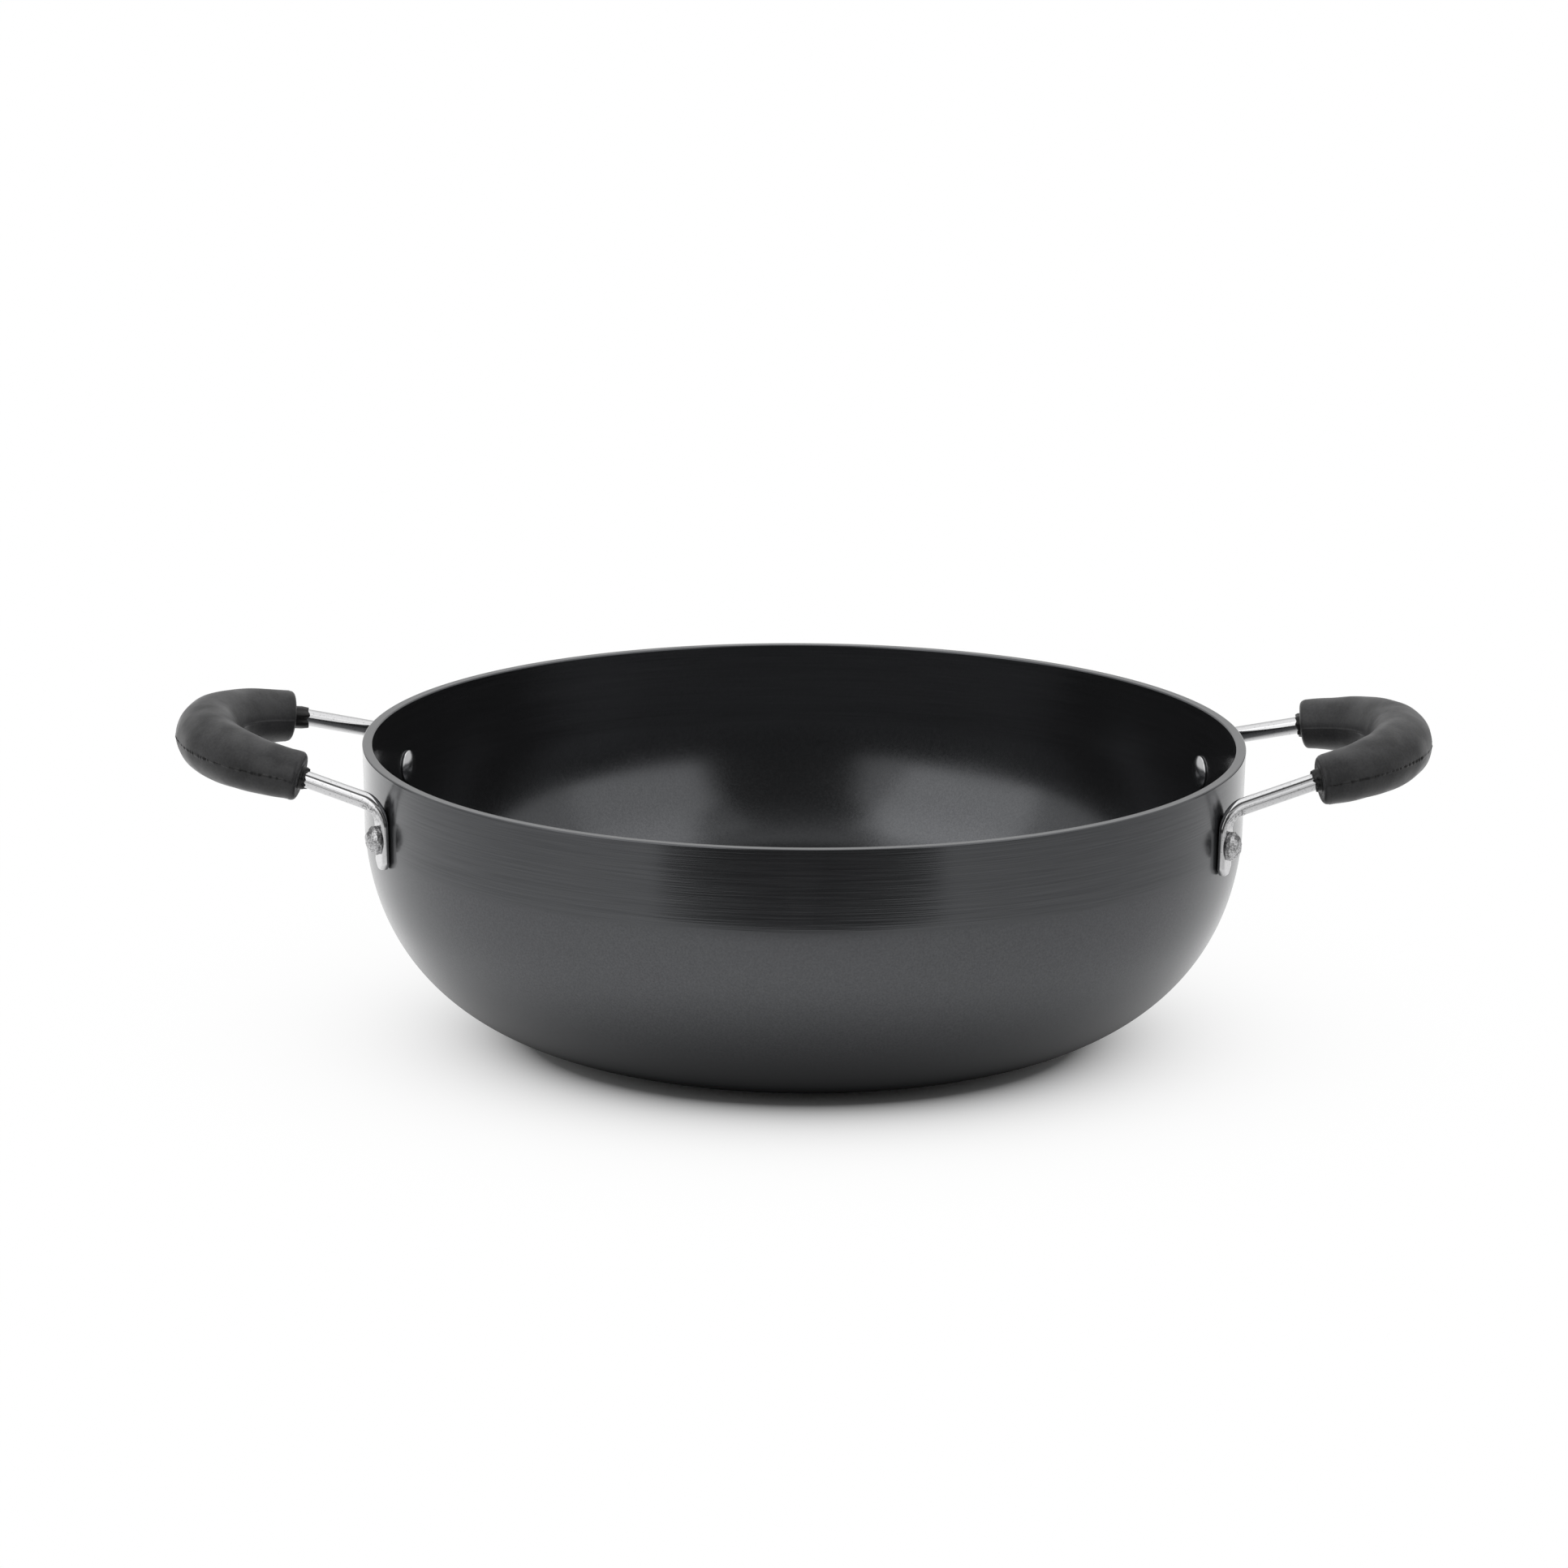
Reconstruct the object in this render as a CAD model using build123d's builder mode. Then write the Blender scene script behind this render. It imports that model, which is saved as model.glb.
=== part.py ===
from build123d import *
from math import asin, atan2, cos, radians, sin, sqrt, tan
import os

# A kadai: a deep bowl with a flat base, and two bent rod handles with moulded grips.
# Each handle is held by two rivets through the bowl's upper wall.
# Millimetres and degrees. The origin is the middle of the flat base, +Z is up,
# and +X points at the right handle. The front of the pan faces -Y.

# Bowl
rim_diameter = 260
bowl_height = 88
wall_thickness = 3
base_diameter = 112
band_height = 22  # the straight band under the rim
band_flare = 0.6  # the band is this much wider in radius at the rim than at its foot
rim_edge_radius = 0.7
# The curve between the base and the band leaves both of them smoothly.
# It leans on two points: how far across, and how far up, they reach.
heel_reach_share = 0.56
belly_reach_share = 0.64

# Rivets
rivet_spacing = 90.5  # between the two rivets of one handle, straight across
rivet_drop = 19  # the rivets' centres below the rim
shank_diameter = 4.8
shank_clearance = 0.05  # all round the shank, in the wall and in the tab
outer_head_diameter = 8.4
outer_head_height = 3.8
outer_head_side_share = 0.38  # the share of the height that is straight before the dome
inner_head_diameter = 9.6
inner_head_height = 1.9
inner_head_side_share = 0.2

# Handle rods, bent from one length of round rod with both ends flattened into tabs
rod_diameter = 5
tab_width = 8.2
tab_thickness = 2.3
tab_tail = 8.8  # from the rivet's centre down to the end of the tab
tab_corner_cut = 2.2
corner_rise = 10  # from the rivet's centre up to the corner where the rod turns outward
corner_radius = 7
arm_climb_angle = 14
arm_lean_in_angle = 20.6  # each arm leans in towards the handle's middle, seen from above
knee_reach = 18.5  # from the rim's edge out to the slight bend before the grip
knee_radius = 15
bow_reach = 45.4  # from the rim's edge out to the rod's centre line at the handle's middle
bow_lift = 1.5  # the rod's centre line there, above the rim
bow_round_share = 0.96  # the share of the room beside the bow's corners that their arcs take
# Between round rod and flat tab: places along the corner's arc, and the width and thickness there,
# as shares of the way from the rod's diameter to the tab's width and thickness.
swage_place_shares = (0.3, 0.55, 0.8)
swage_form_shares = (0.2, 0.6, 0.95)

# Grips, moulded round the rods
grip_mouth_diameter = 14.6
grip_bow_diameter = 18.6
grip_mouth_offset = 1.6  # from the slight bend out to the grip's mouth
grip_edge_radius = 2
grip_stations = 11
collar_wall = 0.8
collar_length = 1.8

overrun = 1  # how far a cut runs past what it cuts

# What follows from the sizes above
rim_radius = rim_diameter / 2
base_radius = base_diameter / 2
foot_radius = rim_radius - band_flare
foot_height = bowl_height - band_height
band_lean = atan2(band_flare, band_height)
rod_radius = rod_diameter / 2
rivet_wall_radius = rim_radius - band_flare * rivet_drop / band_height
rivet_azimuth = asin(rivet_spacing / 2 / rivet_wall_radius)


def rivet_plane(side, depth):
    """The plane on the outer wall at one rivet: X level along the wall, Y up the wall, Z outward.

    side is 1 for the right handle and -1 for the left, depth is 1 for the back and -1 for the front.
    """
    outward_x = side * cos(rivet_azimuth)
    outward_y = depth * sin(rivet_azimuth)
    return Plane(
        origin=(rivet_wall_radius * outward_x, rivet_wall_radius * outward_y, bowl_height - rivet_drop),
        x_dir=(-outward_y, outward_x, 0),
        z_dir=(outward_x * cos(band_lean), outward_y * cos(band_lean), -sin(band_lean)),
    )


# Bowl: one sheet of even thickness, turned about Z, open at the rim
with BuildPart() as bowl:
    with BuildSketch(Plane.XZ):
        with BuildLine():
            Line((0, 0), (base_radius, 0))
            Bezier(
                (base_radius, 0),
                (base_radius + heel_reach_share * (foot_radius - base_radius), 0),
                (
                    foot_radius - belly_reach_share * foot_height * tan(band_lean),
                    foot_height - belly_reach_share * foot_height,
                ),
                (foot_radius, foot_height),
            )
            Polyline((foot_radius, foot_height), (rim_radius, bowl_height), (0, bowl_height), (0, 0))
        make_face()
    revolve(axis=Axis.Z)
    offset(openings=bowl.faces().sort_by(Axis.Z)[-1], amount=-wall_thickness)
    fillet(bowl.edges().filter_by(GeomType.CIRCLE).group_by(Axis.Z)[-1], rim_edge_radius)
    with Locations(*[rivet_plane(side, depth) for side in (1, -1) for depth in (1, -1)]):
        Hole(shank_diameter / 2 + shank_clearance, depth=wall_thickness + overrun)
bowl.part.label = "bowl"

# The route of the right handle's rod, back half: tab end, corner, slight bend and bow corner.
# The front half mirrors it.
back_plane = rivet_plane(1, 1)
tab_end = back_plane.from_local_coords(Vector(0, -tab_tail, tab_thickness / 2))
corner = back_plane.from_local_coords(Vector(0, corner_rise, tab_thickness / 2))
arm_slope = tan(radians(arm_lean_in_angle))
arm_run = rim_radius + knee_reach - corner.X
knee = corner + Vector(
    arm_run,
    -arm_run * arm_slope,
    arm_run / cos(radians(arm_lean_in_angle)) * tan(radians(arm_climb_angle)),
)
bow_run = bow_reach - knee_reach
bow_corner = Vector(
    rim_radius + bow_reach,
    knee.Y - bow_run * arm_slope,
    bowl_height + bow_lift,
)
outer_arm = bow_corner - knee
mouth = knee + outer_arm.normalized() * grip_mouth_offset
bow_turn = outer_arm.get_angle(Vector(0, -1, 0))
bow_room = min(bow_corner.Y, (bow_corner - mouth).length)
bow_radius = bow_round_share * bow_room / tan(radians(bow_turn / 2))


def to_front(point):
    """The same point on the front half of the handle."""
    return Vector(point.X, -point.Y, point.Z)


def flattened_section(plane, form):
    """The rod's section on a plane: nearly round where form is 0, as flat as the tab where it is 1."""
    width = rod_diameter + form * (tab_width - rod_diameter)
    thickness = rod_diameter + form * (tab_thickness - rod_diameter)
    with BuildSketch(plane) as section:
        SlotOverall(width, thickness)
    return section.sketch


# The flattened end of a rod: the corner where it is swaged from round to flat, then the pierced tab
with BuildLine() as corner_path:
    FilletPolyline(knee, corner, tab_end, radius=corner_radius)
corner_arc = corner_path.edges().filter_by(GeomType.CIRCLE)[0]
arm_end_share = 0 if (corner_arc @ 0).X > (corner_arc @ 1).X else 1
arm_start = corner_arc @ arm_end_share
tab_start = corner_arc @ (1 - arm_end_share)
tab_plane = Plane(origin=tab_start, x_dir=back_plane.x_dir, z_dir=tab_end - tab_start)

with BuildSketch(Plane(origin=arm_start, x_dir=back_plane.x_dir, z_dir=arm_start - knee)) as round_end:
    Circle(rod_radius)
swage_sections = [round_end.sketch]
for place, form in zip(swage_place_shares, swage_form_shares):
    along = abs(arm_end_share - place)
    heading = (corner_arc % along) * (1 - 2 * arm_end_share)
    station = Plane(origin=corner_arc @ along, x_dir=back_plane.x_dir, z_dir=heading)
    swage_sections.append(flattened_section(station, form))
swage_sections.append(flattened_section(tab_plane, 1))

with BuildPart() as swaged_end:
    loft(sections=swage_sections)
    extrude(swage_sections[-1], amount=(tab_end - tab_start).length)
    with BuildSketch(back_plane.offset(tab_thickness / 2)):
        for edge_x, inward in ((-tab_width / 2, tab_corner_cut), (tab_width / 2, -tab_corner_cut)):
            with BuildLine():
                Polyline(
                    (edge_x, -tab_tail),
                    (edge_x + inward, -tab_tail),
                    (edge_x, tab_corner_cut - tab_tail),
                    close=True,
                )
            make_face()
    extrude(amount=tab_thickness / 2 + overrun, both=True, mode=Mode.SUBTRACT)
    with Locations(back_plane.offset(tab_thickness)):
        Hole(shank_diameter / 2 + shank_clearance, depth=tab_thickness + overrun)

# Right handle rod: the bow and both arms, round, with a flattened end at the back and its mirror in front
with BuildPart() as rod_right:
    with BuildLine() as arms_and_bow:
        FilletPolyline(
            arm_start,
            knee,
            bow_corner,
            to_front(bow_corner),
            to_front(knee),
            to_front(arm_start),
            radius=[knee_radius, bow_radius, bow_radius, knee_radius],
        )
    with BuildSketch(Plane(origin=arm_start, z_dir=knee - arm_start)):
        Circle(rod_radius)
    sweep(path=arms_and_bow.wire())
    add(swaged_end.part)
    mirror(swaged_end.part, about=Plane.XZ)

# Right grip: round sections along the bow, thicker the further out they stand, then the collars
with BuildLine() as grip_path:
    FilletPolyline(
        mouth,
        bow_corner,
        to_front(bow_corner),
        to_front(mouth),
        radius=[bow_radius, bow_radius],
    )
grip_route = grip_path.wire()
grip_sections = []
for step in range(grip_stations):
    share = step / (grip_stations - 1)
    spot = grip_route @ share
    swell_share = (spot.X - mouth.X) / (bow_corner.X - mouth.X)
    diameter = grip_mouth_diameter + swell_share * (grip_bow_diameter - grip_mouth_diameter)
    with BuildSketch(Plane(origin=spot, x_dir=(0, 0, 1), z_dir=grip_route % share)) as section:
        Circle(diameter / 2)
    grip_sections.append(section.sketch)

with BuildPart() as grip_right:
    loft(sections=grip_sections)
    fillet(grip_right.edges().sort_by(Axis.X)[:2], grip_edge_radius)
    for mouth_share, way_out in ((0, -1), (1, 1)):
        mouth_plane = Plane(origin=grip_route @ mouth_share, z_dir=(grip_route % mouth_share) * way_out)
        with BuildSketch(mouth_plane):
            Circle(rod_radius + collar_wall)
        extrude(amount=collar_length)
    add(rod_right.part, mode=Mode.SUBTRACT)

# One rivet, made at the right handle's back and turned about its own axis, which is the plane's Z.
# The outer head lies on the tab. The flat underside of the inner head rests on the hollow wall
# at its two sides, so it stands off the wall's middle by the depth of that hollow.
inner_wall_radius = rivet_wall_radius - wall_thickness
inner_head_radius = inner_head_diameter / 2
hollow_depth = inner_wall_radius - sqrt(inner_wall_radius**2 - inner_head_radius**2)
inner_seat = -wall_thickness - hollow_depth
inner_top = inner_seat - inner_head_height
inner_shoulder = inner_seat - inner_head_height * inner_head_side_share
outer_top = tab_thickness + outer_head_height
outer_shoulder = tab_thickness + outer_head_height * outer_head_side_share
with BuildPart() as rivet_back:
    with BuildSketch(Plane(origin=back_plane.origin, x_dir=back_plane.x_dir, z_dir=-back_plane.y_dir)):
        with BuildLine():
            Line((0, outer_top), (0, inner_top))
            TangentArc((0, inner_top), (inner_head_radius, inner_shoulder), tangent=(1, 0))
            Polyline(
                (inner_head_radius, inner_shoulder),
                (inner_head_radius, inner_seat),
                (shank_diameter / 2, inner_seat),
                (shank_diameter / 2, tab_thickness),
                (outer_head_diameter / 2, tab_thickness),
                (outer_head_diameter / 2, outer_shoulder),
            )
            TangentArc((0, outer_top), (outer_head_diameter / 2, outer_shoulder), tangent=(1, 0))
        make_face()
    revolve(axis=Axis(back_plane.origin, back_plane.z_dir))

# The front rivet mirrors the back one, and the left handle's pieces are the right's turned half round
with BuildPart() as rivet_front:
    mirror(rivet_back.part, about=Plane.XZ)

os.makedirs("parts", exist_ok=True)
export_step(bowl.part, "parts/bowl.step")
# Turned half round, the rivet that was at the back stands in front
for side, turn, front_rivet, back_rivet in (
    ("right", 0, rivet_front, rivet_back),
    ("left", 180, rivet_back, rivet_front),
):
    pieces = {
        f"handle_rod_{side}": rod_right,
        f"grip_{side}": grip_right,
        f"rivet_{side}_front": front_rivet,
        f"rivet_{side}_back": back_rivet,
    }
    for name, piece in pieces.items():
        with BuildPart() as placed:
            add(piece.part, rotation=(0, 0, turn))
        placed.part.label = name
        export_step(placed.part, f"parts/{name}.step")
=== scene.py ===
"""The looks of a kadai: a deep anodised bowl with two riveted, bent-rod handles in moulded grips.

Shapes are worked out in millimetres, in the frame of the CAD model (+Z up, +X towards the right
handle, -Y towards the viewer), and turned to metres when a mesh is made.
"""

import logging
import math
from dataclasses import dataclass, field
from enum import Enum
from functools import partial
from typing import Callable, Sequence

import bmesh
import bpy
import numpy as np
from mathutils import Matrix, Vector

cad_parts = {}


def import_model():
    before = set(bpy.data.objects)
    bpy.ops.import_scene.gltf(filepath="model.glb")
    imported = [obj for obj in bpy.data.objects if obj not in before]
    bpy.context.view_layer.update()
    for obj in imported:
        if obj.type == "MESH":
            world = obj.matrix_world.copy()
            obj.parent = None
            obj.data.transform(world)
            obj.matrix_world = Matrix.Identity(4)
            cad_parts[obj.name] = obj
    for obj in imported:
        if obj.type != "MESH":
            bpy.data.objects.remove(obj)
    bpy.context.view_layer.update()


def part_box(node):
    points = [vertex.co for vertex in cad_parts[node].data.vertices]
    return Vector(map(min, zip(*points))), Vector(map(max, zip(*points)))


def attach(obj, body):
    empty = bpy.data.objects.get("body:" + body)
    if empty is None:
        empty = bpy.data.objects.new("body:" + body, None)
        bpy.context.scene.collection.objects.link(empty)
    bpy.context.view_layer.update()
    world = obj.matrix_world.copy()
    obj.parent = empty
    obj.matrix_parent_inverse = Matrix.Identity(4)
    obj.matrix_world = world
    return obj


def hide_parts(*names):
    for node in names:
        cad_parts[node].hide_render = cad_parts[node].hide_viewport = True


METRES = 0.001  # one millimetre
BODY = "root"
UP = np.array([0.0, 0.0, 1.0])
MERGE_DISTANCE = METRES / 1e4
LEAST_SINE = 1e-6
COLOUR = {"data_type": "RGBA"}  # settings of a Mix node
SMOOTH = {"interpolation_type": "SMOOTHSTEP"}  # settings of a Map Range node

log = logging.getLogger("kadai")


class Side(Enum):
    """Which handle: the value is the turn about Z, in degrees, that takes the right handle to it."""

    RIGHT = 0
    LEFT = 180


class Depth(Enum):
    """Which end of a handle, as the viewer sees it."""

    FRONT = -1
    BACK = 1


class Detail(Enum):
    """The attributes that shapes leave on their points for the materials to read."""

    UNBENT = "unbent_mm"
    WORKED = "worked"
    SEAM = "seam"
    INSIDE = "inside"
    BRUSHED = "brushed"


def linear_colour(hex_code: str) -> tuple[float, float, float, float]:
    """Turns an sRGB hex colour to the linear one that shaders take.

    Args:
        hex_code: Six hex digits, such as "8a8a8c".

    Returns:
        Linear red, green, blue and an alpha of 1.
    """
    shares = [int(hex_code[k : k + 2], 16) / 255 for k in (0, 2, 4)]
    linear = [s / 12.92 if s <= 0.04045 else ((s + 0.055) / 1.055) ** 2.4 for s in shares]
    return (*linear, 1.0)


def add_node(
    tree: bpy.types.NodeTree, kind: str, inputs: dict | None = None, **settings: object
) -> bpy.types.Node:
    """Adds a node with its settings and links.

    Args:
        tree: The node tree that it joins.
        kind: The node's type, such as "ShaderNodeBump".
        inputs: For each input's name or number a value, a socket to link, or a node whose first working
            output is linked.
        settings: The node's own properties.

    Returns:
        The new node.
    """
    node = tree.nodes.new(kind)
    for name, value in settings.items():
        setattr(node, name, value)
    for name, value in (inputs or {}).items():
        if isinstance(value, bpy.types.Node):
            value = next(output for output in value.outputs if output.enabled)
        if isinstance(value, bpy.types.NodeSocket):
            tree.links.new(value, node.inputs[name])
        else:
            node.inputs[name].default_value = value
    return node


def new_material(name: str) -> tuple[bpy.types.Material, Callable[..., bpy.types.Node]]:
    """Starts an empty material.

    Args:
        name: The finish's plain name.

    Returns:
        The material, and add_node for its tree.
    """
    material = bpy.data.materials.new(name)
    material.use_nodes = True
    material.node_tree.nodes.clear()
    return material, partial(add_node, material.node_tree)


def per_metre(*grain_mm: float) -> tuple[float, ...]:
    """The scales that give a pattern these grain sizes, in millimetres, on coordinates in metres."""
    return tuple(1 / (grain * METRES) for grain in grain_mm)


def radians(degrees: Sequence[float]) -> list[float]:
    """Each angle in radians."""
    return [math.radians(angle) for angle in degrees]


def noise(place: object, size_mm: float, octaves: float) -> dict:
    """The inputs of a Noise node on coordinates in metres: its place, feature size and octaves."""
    return {"Vector": place, "Scale": per_metre(size_mm)[0], "Detail": octaves}


def span(value: object, limits: Sequence[float]) -> dict:
    """The inputs of a Map Range node: what it maps, and the two limits that become 0 and 1."""
    return {"Value": value, "From Min": limits[0], "From Max": limits[1]}


def shades(share: object, first: str, second: str) -> dict:
    """The inputs of a colour's Mix node: the share of the second of two sRGB hex colours."""
    return {0: share, 6: linear_colour(first), 7: linear_colour(second)}


def close_material(add: Callable[..., bpy.types.Node], relief: bpy.types.Node, look: dict) -> None:
    """Ends a material with its bump, its shader and its output.

    Args:
        add: add_node for the tree.
        relief: The node whose result is the surface's height in metres.
        look: The shader's other inputs.
    """
    bump = add("ShaderNodeBump", {"Height": relief, "Distance": 1.0, "Strength": 1.0})
    shader = add("ShaderNodeBsdfPrincipled", look | {"Normal": bump})
    add("ShaderNodeOutputMaterial", {"Surface": shader})


@dataclass(frozen=True)
class HardAnodised:
    """Hard anodised aluminium, spun and satin: a dark oxide layer that mirrors softly.

    The straight band under the rim is brushed round the bowl, which drags its reflections into fine level
    streaks. Below it the oxide is even, with a fine grain. The inside is equally rough all over.
    """

    pale: str = "5a5b5d"
    deep: str = "4e4f51"
    metallic: float = 0.84  # the oxide's own grey shows a little between its reflections
    brushed_roughness: float = 0.17
    satin_roughness: float = 0.23
    inner_roughness: float = 0.19
    roughness_swing: float = 0.03
    pattern_limits: tuple[float, float] = (0.3, 0.7)
    both_limits: tuple[float, float] = (0.7, 1.3)  # of two patterns added
    streak_length_mm: float = 30.0
    streak_height_mm: float = 0.45  # real brush lines are finer, and would not show
    streak_relief_mm: float = 0.018
    grain_mm: float = 0.55  # likewise coarser than the oxide's own grain
    grain_relief_mm: float = 0.003
    cloud_mm: float = 35.0
    band_depth_mm: float = 24.5
    band_blend_mm: float = 1.0
    painted_band_shade: float = 0.95  # painted shade: the band's outside is darkened a little, standing in for its darker reflections

    def material(self, rim_height_mm: float) -> bpy.types.Material:
        """Builds the material.

        Args:
            rim_height_mm: The rim's height above the base, from which the band is measured.

        Returns:
            The material.
        """
        material, add = new_material("hard_anodised_aluminium")
        place = add("ShaderNodeTexCoord").outputs["Object"]
        height = add("ShaderNodeSeparateXYZ", {"Vector": place}).outputs["Z"]
        foot, blend = (rim_height_mm - self.band_depth_mm) * METRES, self.band_blend_mm * METRES
        band = add("ShaderNodeMapRange", span(height, (foot - blend, foot + blend)))
        scales = per_metre(self.streak_length_mm, self.streak_length_mm, self.streak_height_mm)
        drawn_out = add("ShaderNodeMapping", {"Vector": place, "Scale": scales})
        streaks = add("ShaderNodeTexNoise", {"Vector": drawn_out, "Scale": 1.0, "Detail": 4.0})
        grain = add("ShaderNodeTexNoise", noise(place, self.grain_mm, 2.0))
        cloud = add("ShaderNodeTexNoise", noise(place, self.cloud_mm, 2.0))
        pattern = add("ShaderNodeMix", {0: band, 2: grain, 3: streaks})
        share = add("ShaderNodeMapRange", span(pattern, self.pattern_limits))
        oxide = add("ShaderNodeMix", shades(share, self.deep, self.pale), **COLOUR)
        # painted shade: the band's outside, as the bowl marks it, is darkened in colour to stand in for its
        # darker reflections
        brushed = add("ShaderNodeAttribute", attribute_name=Detail.BRUSHED.value).outputs["Fac"]
        painted_shade_inputs = {0: brushed, 6: oxide, 7: (*[self.painted_band_shade] * 3, 1.0)}
        colour = add("ShaderNodeMix", painted_shade_inputs, **COLOUR, blend_type="MULTIPLY")
        uneven = add("ShaderNodeMath", {0: pattern, 1: cloud}, operation="ADD")
        swing = {"To Min": -self.roughness_swing, "To Max": self.roughness_swing}
        offset = add("ShaderNodeMapRange", span(uneven, self.both_limits) | swing)
        outer = add("ShaderNodeMix", {0: band, 2: self.satin_roughness, 3: self.brushed_roughness})
        inside = add("ShaderNodeAttribute", attribute_name=Detail.INSIDE.value).outputs["Fac"]
        base = add("ShaderNodeMix", {0: inside, 2: outer, 3: self.inner_roughness})
        rough = add("ShaderNodeMath", {0: base, 1: offset}, operation="ADD")
        fine = add("ShaderNodeMath", {0: grain, 1: self.grain_relief_mm * METRES}, operation="MULTIPLY")
        lined = add("ShaderNodeMath", {0: streaks, 1: self.streak_relief_mm * METRES}, operation="MULTIPLY")
        relief = add("ShaderNodeMix", {0: band, 2: fine, 3: lined})
        close_material(add, relief, {"Base Color": colour, "Metallic": self.metallic, "Roughness": rough})
        return material


@dataclass(frozen=True)
class PlatedSteel:
    """Nickel plated mild steel rod, drawn and then bent: bright, with faint draw lines and small specks.

    Where a tool pressed it, above each rivet, the plating is dull and dotted with dark pits. Its
    coordinates are those of the unbent rod, in millimetres.
    """

    plating: str = "c8c8c9"
    speck: str = "5f5f60"
    roughness: float = 0.11
    pressed_roughness: float = 0.36
    line_length_mm: float = 12.0
    line_width_mm: float = 0.4  # real draw lines are finer, and would not show
    line_relief_mm: float = 0.002
    speck_mm: float = 0.55
    speck_limits: tuple[float, float] = (0.6, 0.72)
    speck_strength: float = 0.5
    pit_limits: tuple[float, float] = (0.46, 0.58)
    pit_strength: float = 0.85
    pit_relief_mm: float = 0.05

    def material(self) -> bpy.types.Material:
        """Builds the material."""
        material, add = new_material("nickel_plated_steel")
        place = add("ShaderNodeAttribute", attribute_name=Detail.UNBENT.value).outputs["Vector"]
        worked = add("ShaderNodeAttribute", attribute_name=Detail.WORKED.value).outputs["Fac"]
        scales = (1 / self.line_length_mm, 1 / self.line_width_mm, 1 / self.line_width_mm)
        drawn_out = add("ShaderNodeMapping", {"Vector": place, "Scale": scales})
        lines = add("ShaderNodeTexNoise", {"Vector": drawn_out, "Scale": 1.0, "Detail": 3.0})
        dots = add("ShaderNodeTexNoise", {"Vector": place, "Scale": 1 / self.speck_mm, "Detail": 2.0})
        rare = add("ShaderNodeMapRange", span(dots, self.speck_limits) | {"To Max": self.speck_strength})
        dense = add("ShaderNodeMapRange", span(dots, self.pit_limits) | {"To Max": self.pit_strength})
        dotted = add("ShaderNodeMix", {0: worked, 2: rare, 3: dense})
        colour = add("ShaderNodeMix", shades(dotted, self.plating, self.speck), **COLOUR)
        dull = {"Value": worked, "To Min": self.roughness, "To Max": self.pressed_roughness}
        rough = add("ShaderNodeMapRange", dull)
        fine = add("ShaderNodeMath", {0: lines, 1: self.line_relief_mm * METRES}, operation="MULTIPLY")
        pits = add("ShaderNodeMath", {0: dots, 1: -self.pit_relief_mm * METRES}, operation="MULTIPLY")
        relief = add("ShaderNodeMix", {0: worked, 2: fine, 3: pits})
        close_material(add, relief, {"Base Color": colour, "Metallic": 1.0, "Roughness": rough})
        return material


@dataclass(frozen=True)
class MouldedRubber:
    """Charcoal rubber, moulded in a lightly blasted tool: matte, mottled and a touch lighter where handled.

    The parting line carries small pits, and both the line and its pits are darkened in colour as painted
    shade; the flash round the rod is darker than the skin.
    """

    skin: str = "2e2e2f"
    handled: str = "424243"
    # the colour of the painted shade on the parting line and its pits, and of the darker collar
    pit: str = "0d0d0d"
    roughness: float = 0.42
    roughness_swing: float = 0.08
    roughness_limits: tuple[float, float] = (0.3, 0.7)
    gloss: float = 0.26
    mottle_mm: float = 8.0
    mottle_limits: tuple[float, float] = (0.38, 0.62)
    grain_mm: float = 0.7  # the tool's blasting is finer, and would not show
    grain_share: float = 0.35
    grain_relief_mm: float = 0.02

    def material(self) -> bpy.types.Material:
        """Builds the material."""
        material, add = new_material("moulded_charcoal_rubber")
        place = add("ShaderNodeTexCoord").outputs["Object"]
        seam = add("ShaderNodeAttribute", attribute_name=Detail.SEAM.value).outputs["Fac"]
        mottle = add("ShaderNodeTexNoise", noise(place, self.mottle_mm, 5.0))
        grain = add("ShaderNodeTexNoise", noise(place, self.grain_mm, 3.0))
        both = add("ShaderNodeMix", {0: self.grain_share, 2: mottle, 3: grain})
        share = add("ShaderNodeMapRange", span(both, self.mottle_limits))
        skin = add("ShaderNodeMix", shades(share, self.skin, self.handled), **COLOUR)
        # painted shade on the parting line and its pits, and the darker collar
        colour = add("ShaderNodeMix", {0: seam, 6: skin, 7: linear_colour(self.pit)}, **COLOUR)
        low, high = self.roughness - self.roughness_swing, self.roughness + self.roughness_swing
        swing = span(mottle, self.roughness_limits) | {"To Min": high, "To Max": low}
        rough = add("ShaderNodeMapRange", swing)
        relief = add("ShaderNodeMath", {0: grain, 1: self.grain_relief_mm * METRES}, operation="MULTIPLY")
        look = {"Base Color": colour, "Specular IOR Level": self.gloss, "Roughness": rough}
        close_material(add, relief, look)
        return material


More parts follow.
